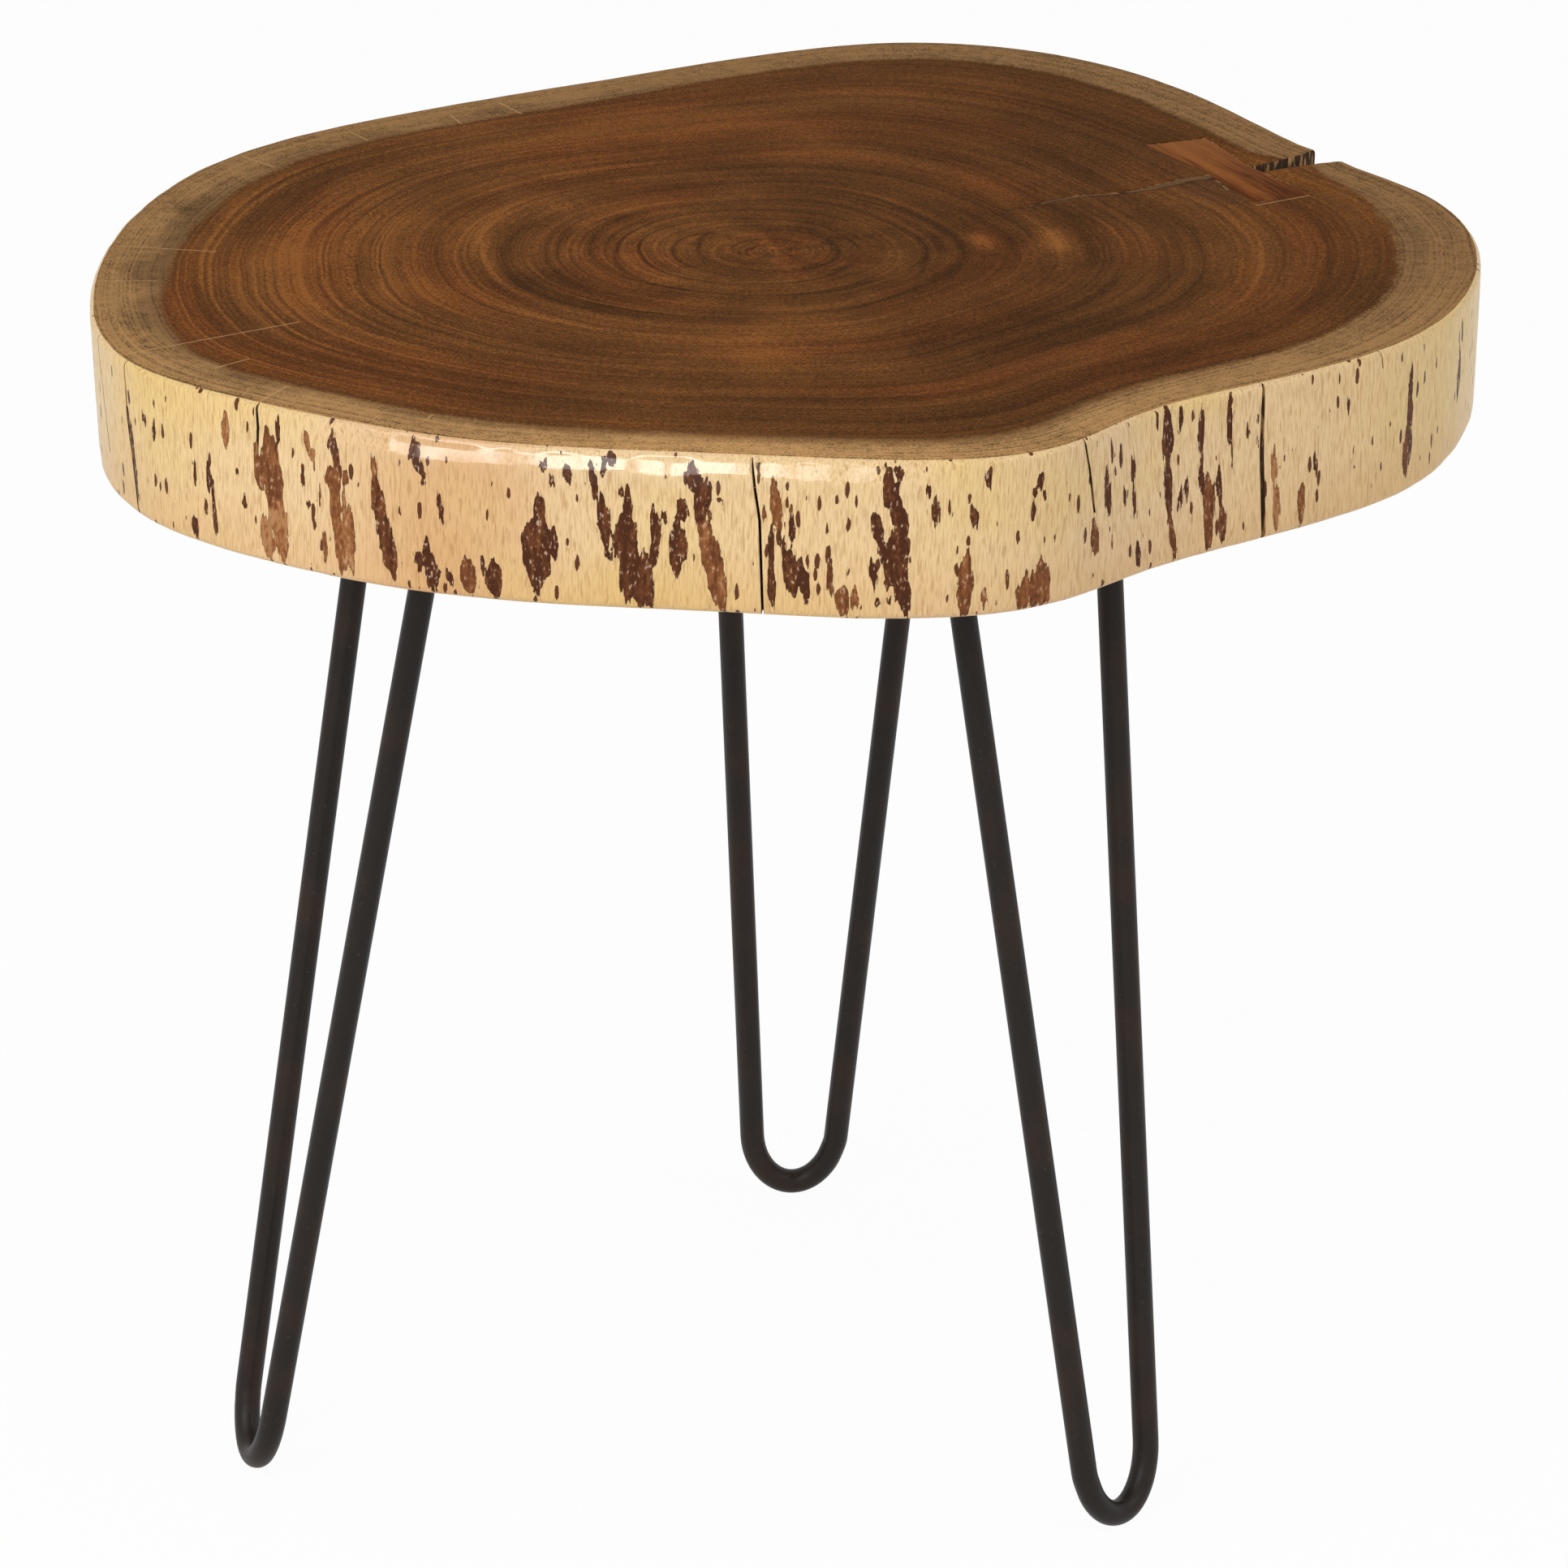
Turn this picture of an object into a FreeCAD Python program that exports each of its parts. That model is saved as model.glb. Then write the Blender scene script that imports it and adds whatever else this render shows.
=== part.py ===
import FreeCAD, Part
import math
import os

# Live edge log side table: a thick log slice on three bent-bar hairpin legs.
# Millimetres. +Z is up, the front is towards -Y, the origin is on the floor under the slab's middle.

# The slab's overall sizes
TABLE_HEIGHT = 474.0
SLAB_WIDTH = 515.0
SLAB_DEPTH = 554.0
SLAB_THICKNESS = 58.0
EDGE_ROUND = 2.5

# The slab's outline as traced, anticlockwise from the back left: x and y of the top edge, and how
# far the bottom edge stands outside it there (inside where negative). The closed curve is least
# smooth where it starts, so it starts on a straight run. The other places on the slab are given on
# the same trace, and the whole trace is stretched to the slab's width and depth.
OUTLINE = [
    (-74, 216, 0), (-157, 157, -1), (-215, 99, -3), (-252, 0, -4), (-257, -81, -3), (-227, -188, -4),
    (-190, -218, 0), (-113, -259, -2), (-19, -271, -2), (50, -273, -1), (88, -260, -2), (123, -217, 4),
    (165, -180, 3), (219, -130, 1), (250, -66, -1), (258, -4, 0), (244, 66, 0), (211, 115, 0),
    (192, 149, 0), (150, 223, 0), (89, 273, -2), (44, 279, -2), (4, 266, -1),
]
OUTLINE_RUNS = 5

# The open check in the rim, as a wedge that widens outwards through the whole thickness
NOTCH_START = (176.0, 93.0)
NOTCH_HEADING = 36.0
NOTCH_REACH = 70.0
NOTCH_INNER_WIDTH = 6.6
NOTCH_OUTER_WIDTH = 21.0

# The butterfly key let into the top across the check
KEY_CENTRE = (169.0, 95.0)
KEY_HEADING = 115.8
KEY_LENGTH = 86.0
KEY_END_WIDTH = 27.0
KEY_WAIST_WIDTH = 20.0
KEY_DEPTH = 18.0
KEY_GAP = 0.15

# The filled part of the check, from its tip to the key: x, y and width
CRACK = [
    (82, 35, 0.8), (90, 38, 1.8), (99, 48, 2.0), (112, 56, 2.2), (125, 59, 2.6),
    (137, 66, 4.0), (148, 76, 6.0), (156, 82, 7.0), (171, 86, 7.0),
]
CRACK_DEPTH = 22.0

# Hairpin legs: the middle of each plate, and the heading in degrees that its foot points to
HAIRPIN_PLACES = {"left": (-141.2, -68.9), "back": (14.0, 114.6), "right": (87.3, -84.6)}
HAIRPIN_HEADINGS = {"left": 199.4, "back": 96.8, "right": -43.9}
ROD_DIAMETER = 10.0
ROD_SPREAD = 86.6
BEND_HALF_WIDTH = 17.9
BEND_RISE = 26.6
BEND_POINTS = 13
FOOT_REACH = 63.9

# Mounting plates, their screws and the weld beads
PLATE_WIDTH = 50.0
PLATE_OVERHANG = 15.0
PLATE_THICKNESS = 4.0
PLATE_CORNER = 8.0
HOLE_INSET = 9.0
WELD_LEG = 4.0
SCREW_DIAMETER = 4.5
SCREW_HEAD = 9.0
SCREW_LENGTH = 30.0
SCREW_POINT = 7.0
SCREW_CLEARANCE = 0.1
PILOT_EXTRA = 2.0
RECESS_WIDTH = 1.0
RECESS_SPAN = 4.8
RECESS_DEPTH = 1.4

# Sizes that follow from the ones above
SLAB_BASE = TABLE_HEIGHT - SLAB_THICKNESS
PLATE_BASE = SLAB_BASE - PLATE_THICKNESS
PLATE_LENGTH = ROD_SPREAD + ROD_DIAMETER + 2 * PLATE_OVERHANG
FOOT_RISE = PLATE_BASE - ROD_DIAMETER / 2
LEAN = math.atan2(FOOT_REACH, FOOT_RISE)
HEAD_HEIGHT = (SCREW_HEAD - SCREW_DIAMETER) / 2
UP = FreeCAD.Vector(0, 0, 1)
EDGE_TOLERANCE = 0.01


def vector(x, y, z=0.0):
    return FreeCAD.Vector(x, y, z)


def prism(points, base, height):
    """An upright solid over a closed outline of straight sides."""
    corners = [vector(p.x, p.y, base) for p in points]
    face = Part.Face(Part.makePolygon(corners + corners[:1]))
    return face.extrude(UP * height)


def heading_vectors(degrees):
    """Unit vectors along a heading and to its left."""
    angle = math.radians(degrees)
    along = vector(math.cos(angle), math.sin(angle))
    return along, vector(-along.y, along.x)


def closed_curve(points):
    """A smooth closed curve through the points, in a few edges that run on from each other."""
    curve = Part.BSplineCurve()
    curve.interpolate(Points=points, PeriodicFlag=True)
    knots = curve.getKnots()
    spans = len(knots) - 1
    ends = [knots[round(run * spans / OUTLINE_RUNS)] for run in range(OUTLINE_RUNS + 1)]
    return Part.Wire([curve.toShape(start, end) for start, end in zip(ends, ends[1:])])


TRACE_BOX = closed_curve([vector(x, y) for x, y, _ in OUTLINE]).optimalBoundingBox()


def on_slab(x, y):
    """A place on the trace, moved to where it lies on a slab of the stated width and depth."""
    return vector((x - TRACE_BOX.Center.x) * SLAB_WIDTH / TRACE_BOX.XLength,
                  (y - TRACE_BOX.Center.y) * SLAB_DEPTH / TRACE_BOX.YLength)


def outline_points():
    """The points of the top edge and of the bottom edge."""
    top = [on_slab(x, y) for x, y, _ in OUTLINE]
    base = []
    for point, (_, _, flare) in zip(top, OUTLINE):
        base.append(point * (1 + flare / point.Length))
    return top, base


def slab_blank():
    """The log slice with its open check, eased along the rim and at the check's mouth."""
    top, base = outline_points()
    top_wire = closed_curve([p + UP * TABLE_HEIGHT for p in top])
    base_wire = closed_curve([p + UP * SLAB_BASE for p in base])
    blank = Part.makeLoft([base_wire, top_wire], True, True).cut(notch_cutter())
    return blank.makeFillet(EDGE_ROUND, mouth_edges(blank) + rim_edges(blank))


def mouth_edges(shape):
    """The two upright edges where the check's walls meet the bark face."""
    inner = on_slab(*NOTCH_START)
    found = []
    for edge in shape.Edges:
        middle = edge.BoundBox.Center
        away = vector(middle.x, middle.y).sub(inner).Length
        upright = edge.BoundBox.ZLength > SLAB_THICKNESS - EDGE_TOLERANCE
        if upright and NOTCH_INNER_WIDTH < away < NOTCH_REACH:
            found.append(edge)
    return found


def rim_edges(shape):
    """The curved edges of the top and bottom faces; the check's walls have straight ones."""
    return [e for e in shape.Edges
            if e.BoundBox.ZLength < EDGE_TOLERANCE and e.Curve.TypeId != "Part::GeomLine"]


def notch_cutter():
    along, across = heading_vectors(NOTCH_HEADING)
    inner = on_slab(*NOTCH_START)
    outer = inner + along * NOTCH_REACH
    corners = [
        inner - across * (NOTCH_INNER_WIDTH / 2), outer - across * (NOTCH_OUTER_WIDTH / 2),
        outer + across * (NOTCH_OUTER_WIDTH / 2), inner + across * (NOTCH_INNER_WIDTH / 2),
    ]
    return prism(corners, SLAB_BASE, SLAB_THICKNESS)


def key_prism(grow):
    """The double dovetail, with its sides moved out by grow, standing on the pocket's floor."""
    along, across = heading_vectors(KEY_HEADING)
    half_length = KEY_LENGTH / 2 + grow
    half_end = KEY_END_WIDTH / 2 + grow
    half_waist = KEY_WAIST_WIDTH / 2 + grow
    profile = [
        (-half_length, -half_end), (0, -half_waist), (half_length, -half_end),
        (half_length, half_end), (0, half_waist), (-half_length, half_end),
    ]
    middle = on_slab(*KEY_CENTRE)
    corners = [middle + along * a + across * b for a, b in profile]
    return prism(corners, TABLE_HEIGHT - KEY_DEPTH, KEY_DEPTH)


def crack_prism():
    """The check's filled length, a strip of changing width along its crooked line."""
    line = [on_slab(x, y) for x, y, _ in CRACK]
    last = len(line) - 1
    left = []
    right = []
    for index, (point, (_, _, width)) in enumerate(zip(line, CRACK)):
        run = line[min(index + 1, last)] - line[max(index - 1, 0)]
        _, across = heading_vectors(math.degrees(math.atan2(run.y, run.x)))
        left.append(point + across * (width / 2))
        right.append(point - across * (width / 2))
    return prism(left + right[::-1], TABLE_HEIGHT - CRACK_DEPTH, CRACK_DEPTH)


def leg_placement(name):
    """Local +Y points the way the leg's foot does, and local X runs across the plate."""
    turn = FreeCAD.Rotation(UP, HAIRPIN_HEADINGS[name] - 90)
    return FreeCAD.Placement(on_slab(*HAIRPIN_PLACES[name]), turn)


def rod_point(across, along):
    """A point in the hairpin's leaning plane: across it, and up it from the foot."""
    return vector(across, FOOT_REACH - along * math.sin(LEAN),
                  ROD_DIAMETER / 2 + along * math.cos(LEAN))


def bend_point(turn):
    """A point of the bend, part of an ellipse, by the turn from its lowest point."""
    return rod_point(BEND_HALF_WIDTH * math.sin(turn), BEND_RISE * (1 - math.cos(turn)))


def rod_run():
    return FOOT_RISE / math.cos(LEAN)


def bend_end():
    """The turn at which a straight run leaves the bend; squashed to a circle, it is a plain tangent."""
    half_spread = ROD_SPREAD / 2
    rise = rod_run() * BEND_HALF_WIDTH / BEND_RISE - BEND_HALF_WIDTH
    reach = math.hypot(half_spread, rise)
    return math.pi - math.atan2(half_spread, rise) - math.acos(BEND_HALF_WIDTH / reach)


def rod_lines():
    """Where each straight run leaves the bend and where it meets the plate, left run first."""
    lines = []
    for side in (-1, 1):
        end = rod_point(side * ROD_SPREAD / 2, rod_run())
        lines.append((bend_point(side * bend_end()), end))
    return lines


def bend_curve(left_heading, right_heading):
    """The bend from the left run to the right run, smooth where it meets them."""
    last = BEND_POINTS - 1
    turns = [bend_end() * (2 * step / last - 1) for step in range(BEND_POINTS)]
    curve = Part.BSplineCurve()
    curve.interpolate(Points=[bend_point(turn) for turn in turns],
                      InitialTangent=left_heading * -1, FinalTangent=right_heading)
    return curve.toShape()


def above_plate_base():
    span = PLATE_LENGTH + SLAB_WIDTH
    return Part.makeBox(2 * span, 2 * span, TABLE_HEIGHT, vector(-span, -span, PLATE_BASE))


def hairpin_rod():
    """One bar: straight run, bend on the floor, straight run, both ends trimmed to the plate."""
    (left_touch, left_end), (right_touch, right_end) = rod_lines()
    left_heading = (left_end - left_touch).normalize()
    right_heading = (right_end - right_touch).normalize()
    start = left_end + left_heading * ROD_DIAMETER
    finish = right_end + right_heading * ROD_DIAMETER
    path = Part.Wire([
        Part.LineSegment(start, left_touch).toShape(),
        bend_curve(left_heading, right_heading),
        Part.LineSegment(right_touch, finish).toShape(),
    ])
    section = Part.Wire(Part.makeCircle(ROD_DIAMETER / 2, start, left_heading))
    return path.makePipeShell([section], True, False).cut(above_plate_base())


def weld_beads(rod):
    """A fillet of weld round each end of the bar, on the plate's lower face."""
    beads = []
    for touch, end in rod_lines():
        heading = (end - touch).normalize()
        cone = Part.makeCone(ROD_DIAMETER / 2, ROD_DIAMETER / 2 + 2 * WELD_LEG, 2 * WELD_LEG,
                             end - heading * WELD_LEG, heading)
        beads.append(cone.cut(above_plate_base()).cut(rod))
    return Part.makeCompound(beads)


def screw_places():
    across = PLATE_LENGTH / 2 - HOLE_INSET
    out = PLATE_WIDTH / 2 - HOLE_INSET
    return [(across, out), (-across, out), (-across, -out), (across, -out)]


def screw_envelope(grow):
    """A countersunk screw's outside, standing point up on the plate's lower face, grown sideways."""
    shank = SCREW_DIAMETER / 2 + grow
    head = SCREW_HEAD / 2 + grow
    profile = [
        (0, 0), (head, 0), (shank, HEAD_HEIGHT), (shank, SCREW_LENGTH - SCREW_POINT),
        (0, SCREW_LENGTH),
    ]
    corners = [vector(radius, 0, PLATE_BASE + height) for radius, height in profile]
    face = Part.Face(Part.makePolygon(corners + corners[:1]))
    return face.revolve(vector(0, 0), UP, 360)


def wood_screw():
    """A countersunk screw with a cross recess in its head."""
    recess = Part.makeBox(RECESS_SPAN, RECESS_WIDTH, RECESS_DEPTH,
                          vector(-RECESS_SPAN / 2, -RECESS_WIDTH / 2, PLATE_BASE))
    other = recess.copy()
    other.rotate(vector(0, 0), UP, 90)
    return screw_envelope(0).cut(recess.fuse(other))


def at_screw_places(shape):
    copies = []
    for x, y in screw_places():
        copy = shape.copy()
        copy.translate(vector(x, y))
        copies.append(copy)
    return Part.makeCompound(copies)


def mounting_plate():
    blank = Part.makeBox(PLATE_LENGTH, PLATE_WIDTH, PLATE_THICKNESS,
                         vector(-PLATE_LENGTH / 2, -PLATE_WIDTH / 2, PLATE_BASE))
    upright = [e for e in blank.Edges if abs(e.BoundBox.ZLength - PLATE_THICKNESS) < EDGE_TOLERANCE]
    return blank.makeFillet(PLATE_CORNER, upright).cut(at_screw_places(screw_envelope(SCREW_CLEARANCE)))


def pilot_holes():
    """Round holes for the screws, a little deeper than their points, in the slab's lower face."""
    depth = SCREW_LENGTH - PLATE_THICKNESS + PILOT_EXTRA
    hole = Part.makeCylinder(SCREW_DIAMETER / 2 + SCREW_CLEARANCE, depth, vector(0, 0, SLAB_BASE))
    return at_screw_places(hole)


def placed(shape, name):
    copy = shape.copy()
    copy.Placement = leg_placement(name)
    return copy


def build():
    pieces = {}
    slab = slab_blank().cut(key_prism(KEY_GAP)).cut(crack_prism())
    for name in HAIRPIN_PLACES:
        slab = slab.cut(placed(pilot_holes(), name))
    pieces["log_slab"] = slab
    pieces["butterfly_key"] = key_prism(0)
    pieces["crack_filler"] = crack_prism().cut(key_prism(KEY_GAP)).cut(notch_cutter())

    rod = hairpin_rod()
    hairpin_pieces = {
        "hairpin": rod,
        "plate": mounting_plate(),
        "welds": weld_beads(rod),
        "screws": at_screw_places(wood_screw()),
    }
    for name in HAIRPIN_PLACES:
        for part_name, shape in hairpin_pieces.items():
            pieces[f"{name}_{part_name}"] = placed(shape, name)
    return pieces


def main():
    os.makedirs("parts", exist_ok=True)
    for name, shape in build().items():
        shape.exportStep(f"parts/{name}.step")
        print(name, "solids", len(shape.Solids), "valid", shape.isValid(), "volume", round(shape.Volume, 1))


main()
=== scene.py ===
import math
import random

import bmesh
import bpy
import numpy as np
from mathutils import Color, Matrix, Vector, noise
from mathutils.bvhtree import BVHTree


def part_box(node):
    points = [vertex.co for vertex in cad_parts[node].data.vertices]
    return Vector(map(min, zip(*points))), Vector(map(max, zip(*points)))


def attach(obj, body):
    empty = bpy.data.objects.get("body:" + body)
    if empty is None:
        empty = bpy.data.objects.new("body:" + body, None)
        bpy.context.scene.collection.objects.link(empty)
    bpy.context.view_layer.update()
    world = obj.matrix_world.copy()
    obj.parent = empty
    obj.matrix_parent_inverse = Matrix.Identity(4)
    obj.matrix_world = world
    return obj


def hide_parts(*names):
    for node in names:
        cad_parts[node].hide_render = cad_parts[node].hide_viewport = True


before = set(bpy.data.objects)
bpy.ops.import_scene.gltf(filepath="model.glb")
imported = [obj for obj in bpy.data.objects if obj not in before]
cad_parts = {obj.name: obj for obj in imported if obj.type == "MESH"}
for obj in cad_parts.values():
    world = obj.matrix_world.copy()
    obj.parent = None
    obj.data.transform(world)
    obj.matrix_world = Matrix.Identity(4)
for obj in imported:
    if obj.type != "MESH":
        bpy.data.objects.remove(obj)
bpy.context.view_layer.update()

bl_info = {
    "name": "Live edge log side table",
    "version": (1, 0, 0),
    "blender": (4, 5, 0),
    "location": "3D View > Sidebar > Log table",
    "description": "Dresses a log slice on three hairpin legs and sets its stage",
    "category": "Object",
}

MM = 0.001
TURN = 2 * math.pi

# The photograph's camera: a long lens, looking down at the table from the front
PHOTO_PIXELS = 1932
SENSOR_MM = 36.0
LENS_MM = 168.49
CAMERA_PLACE = Vector((-0.28, -2660.8, 1259.4)) * MM
CAMERA_DIP = math.radians(20.765)
CAMERA_ROLL = math.radians(0.955)

# The slab's mesh: steps round the rim, rows down the bark face, steps over each eased edge, and
# the growth rings, as shares of the way from the pith to the bark, that the flat faces follow
RIM_STEPS = 1400
BARK_ROWS = 40
UPPER_ROWS = 20
UPPER_REACH = 15 * MM
EASE_STEPS = 4
TOP_SHARES = (0.05, 0.14, 0.28, 0.44, 0.58, 0.70, 0.80, 0.87, 0.92, 0.95, 0.975)
UNDERSIDE_SHARES = (0.96, 0.80, 0.50, 0.20)
PITH = Vector((-6.3, -28.2)) * MM

# The slab's materials by their numbers
TOP, FACE, UNDERSIDE, WALL = range(4)

# Halfway out, the rings' middle lies this far from the pith, this way. By the pith the rings have this share
# of the outline's shape, and they take on the rest with this power of the way out
RING_DRIFT = 13.8 * MM
RING_DRIFT_HEADING = math.radians(180.0)
RING_LEAST_SHAPE = 0.15
RING_SHAPE_POWER = 1.5

# A place's share of the way out is looked for up to this share, by this many halvings
FARTHEST_SHARE = 1.1
HALVINGS = 30

# How wide the sapwood is, all the way round: heading in degrees and width in millimetres
SAPWOOD_WIDTHS = (
    (0, 31), (15, 30), (26, 21), (32, 15), (38, 25), (60, 28), (90, 29), (140, 26), (180, 28), (215, 26),
    (240, 24), (260, 23), (310, 24),
)

# How looks change round the pith, each by heading in degrees and a value from 0 to 1: where the rings stand
# out, how light the heartwood is, how grey and how light the sapwood is, how softly it fades into the
# heartwood, and where the bark face is pink, tanned and shining
CLEAR_RINGS = (
    (-180, 1.0), (-140, 0.9), (-100, 0.25), (-40, 0.1), (20, 0.3), (100, 0.1), (140, 0.6), (180, 1.0),
)
HEART_TONES = (
    (-180, 0.56), (-150, 0.53), (-120, 0.46), (-95, 0.53), (-75, 0.46), (-50, 0.36), (-25, 0.42), (0, 0.41),
    (30, 0.41), (60, 0.42), (90, 0.48), (135, 0.54), (180, 0.56),
)
GREY_SAPWOOD = (
    (-180, 0.9), (-140, 0.8), (-110, 0.3), (-60, 0.1), (0, 0.4), (60, 0.1), (110, 0.35), (150, 0.8),
    (180, 0.9),
)
FRONT_SAPWOOD = (
    (-180, 0.2), (-130, 0.5), (-95, 0.95), (-65, 0.6), (-45, 0.4), (-20, 0.2), (0, 0.0), (180, 0.2),
)
SAPWOOD_FADE = (
    (-180, 0.09), (-130, 0.18), (-95, 0.5), (-60, 0.4), (-20, 0.1), (60, 0.16), (180, 0.09),
)
PINK_FACE = (
    (-180, 0.8), (-150, 0.4), (-120, 0.8), (-90, 0.6), (-60, 0.9), (-35, 0.7), (-12, 0.1), (20, 0.2),
    (180, 0.8),
)
TANNED_FACE = ((-180, 0.0), (-130, 0.0), (-115, 1.0), (-104, 0.0), (180, 0.0))
SHINING_FACE = (
    (-180, 0.5), (-140, 0.8), (-120, 1.0), (-92, 1.0), (-86, 0.15), (-60, 0.0), (180, 0.5),
)

# Rings drawn by noise: how many there are from pith to bark, how often they change on the way round, and the
# noise's detail. The broad, middle and cloudy ones also have their weight in the heartwood's tone
RING_LAYERS = ((12.0, 0.5, 1.0, 0.4), (42.0, 0.6, 2.0, 0.42), (9.0, 3.0, 3.0, 0.5))
FINE_RINGS = (190.0, 0.9, 2.0)
RED_RINGS = (7.0, 0.9, 2.0)
SAPWOOD_RINGS = (220.0, 1.0, 2.0)

# Thin lines along the rings: how many, how often they change on the way round, and their width
DARK_LINES = (19.0, 0.35, 0.045)
PALE_LINES = (44.0, 0.45, 0.05)

# Where the sapwood ends, in widths of the sapwood
SAPWOOD_END = 1.03

# How far from its middle a scratch in the top begins to fade, and how far it ends
SCRATCH_FADE = (0.15 * MM, 0.6 * MM)

# How often noise repeats in a metre on the end grain, the filler and the metal
HEART_PORES = 1100.0
HEART_PATCHES = 11.0
HEART_LINE_PATCHES = 17.0
SAPWOOD_GRAIN = 1000.0
SAPWOOD_MOTTLE = 240.0
SAPWOOD_PATCHES = 30.0
SAPWOOD_BORDER = 45.0
END_PORES = 700.0
RING_WANDER = 9.0
RING_SHIVER = 60.0
FILLER_GRIT = 520.0
FILLER_CLUMPS = 90.0
IRON_MOTTLE = 38.0
IRON_PITS = 620.0
ZINC_CLOUDS = 160.0

# How often drawn-out grain repeats in a metre along each axis
FACE_PATCHES = (14.0, 14.0, 18.0)
FACE_GRAIN = (1700.0, 1700.0, 170.0)
FACE_STROKES = (1000.0, 1000.0, 120.0)
FACE_LUSTRE = (70.0, 70.0, 50.0)
DASH_CELLS = (290.0, 290.0, 85.0)
DASH_ZONES = (30.0, 30.0, 30.0)
FLECK_PRONGS = (480.0, 480.0, 62.0)
FLECK_NICKS = (1100.0, 1100.0, 300.0)
BARK_CRUST = (900.0, 900.0, 420.0)
BARK_STREAKS = (460.0, 460.0, 70.0)
TORN_STREAKS = (420.0, 420.0, 90.0)
SAW_MARKS = (14.0, 520.0, 1.0)
KEY_STREAKS = (8.0, 240.0, 60.0)
KEY_GRAIN = (60.0, 1200.0, 300.0)

# Depth of the fine relief in each finish
PORE_DEPTH = 0.08 * MM
SAW_DEPTH = 0.3 * MM
BARK_DEPTH = 0.3 * MM
TORN_DEPTH = 0.6 * MM
KEY_GRAIN_DEPTH = 0.06 * MM
GRIT_DEPTH = 0.3 * MM

# How much each finish reflects: the flat varnish of the top, the bark face, bare wood, filler and iron
TOP_SHINE = 0.005
FACE_SHINE = 0.04
BARE_SHINE = 0.2
FILLER_SHINE = 0.01
IRON_SHINE = 0.18

# The iron finishes by kind of piece: name, roughness and depth of the pits
IRON = {
    "hairpin": ("bar_iron", 0.42, 0.12 * MM),
    "plate": ("plate_iron", 0.5, 0.15 * MM),
    "welds": ("weld_iron", 0.62, 0.6 * MM),
}

# How often the lumps of the bark face repeat in a metre, sideways and upright
SWELL_PACE = (17, 9)
HOLLOW_PACE = (70, 30)

# The worn shoulder along the front left: headings in degrees over which it comes in and goes out, how far
# below the top it starts, how steeply it slopes in, and how far its lower line wavers
SHOULDER_IN = (228, 240)
SHOULDER_OUT = (276, 288)
SHOULDER_START = 2.2 * MM
SHOULDER_SLOPE = math.tan(math.radians(22.0))
SHOULDER_WAVER = 2.2 * MM

# The waver's two layers of noise: how often each repeats in a metre, its level in the noise and its weight
WAVER_LAYERS = ((30, 4.0, 1.0), (110, 9.0, 0.5))

# How far below the top the shoulder's gloss ends, and how far it is full
GLOSS_END = 14 * MM
GLOSS_FULL = 10 * MM

# Up to this height over the lower edge, the bark face darkens towards the tan colour, most at the bottom
LOW_DARKENING_REACH = 30 * MM

# The rim's outline is measured this far in from the slab's flat faces
OUTLINE_INSET = 5 * MM

# The way the butterfly key lies, as the solid has it, and its eased edges
KEY_HEADING = math.radians(115.8)
KEY_EDGE_SEGMENTS = 2

# The open check in the rim, as the solid has it
CHECK_START = Vector((175.5, 90.3)) * MM
CHECK_HEADING = math.radians(36.0)
CHECK_REACH = 70 * MM
CHECK_INNER_HALF = 3.3 * MM
CHECK_OUTER_HALF = 10.5 * MM

# How the open check flares: share of its reach, and half its width there
CHECK_FLARE = (
    (0.0, CHECK_INNER_HALF), (0.42, 6.2 * MM), (0.56, 8.6 * MM), (0.68, 13 * MM), (1.0, CHECK_OUTER_HALF * 2),
)

# The open check's mouth, which the outline bridges over: share of its reach, and how far to each side
MOUTH_SHARE = 0.55
MOUTH_HALF = 18 * MM

# The open check's torn walls: cuts each way, how often the tears repeat in a metre, and their depth
TEAR_CUTS = 9
TEAR_PACE = (260, 25)
TEAR_DEPTH = 0.7 * MM

# Cutters stand out of the slab's flat faces by this much
CUT_PAST = 2 * MM

# Points of a solid's mesh this near are one, and faces that bend less than this are one
SAME_POINT = 0.01 * MM
SAME_FACE = math.radians(1)

# A hairline check's section: how far it stands out of the face, how deep it goes, how deep at its upper end,
# and how much narrower it is inside. Past an edge it runs out by a little, and it reaches the lower edge
# where its end is this near
HAIRLINE_OUTSIDE = 3 * MM
HAIRLINE_DEPTH = 6 * MM
HAIRLINE_END_DEPTH = 1 * MM
HAIRLINE_TAPER = 0.2
HAIRLINE_PAST = 1 * MM
HAIRLINE_NEAR_EDGE = 6 * MM

# The filler's crooked sides: edges that rise less than this and are longer than this are cut, and all points
# are moved by noise that repeats this often in a metre, read elsewhere for the second way, by this much
FILLER_LEVEL = 0.1 * MM
FILLER_LONG_EDGE = 3 * MM
FILLER_CUTS = 5
FILLER_PACE = 170
FILLER_OTHER_WAY = Vector((9.0, 5.0, 2.0))
FILLER_CROOK = 0.7 * MM

# The degree of the curve along the filler's middle, which tells its front edge, where painted shadow goes
FILLER_LINE_DEGREE = 4

# Edges sharper than these, in degrees, stay sharp
SLAB_SHARP = 40
KEY_SHARP = 50

# The lights: name, place, width and height in metres, and the setting with their power
LIGHTS = (
    ("key_light", (-1.5, -1.7, 2.3), 1.6, 1.6, "key_power"),
    ("fill_light", (1.9, -0.9, 1.7), 1.4, 1.4, "fill_power"),
    ("strip_light", (-1.0, -2.2, 1.36), 1.9, 0.3, "strip_power"),
)

# Half the floor's width, and how much of it shows plain white
FLOOR_HALF = 6.0
FLOOR_WHITE = 0.95

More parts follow.
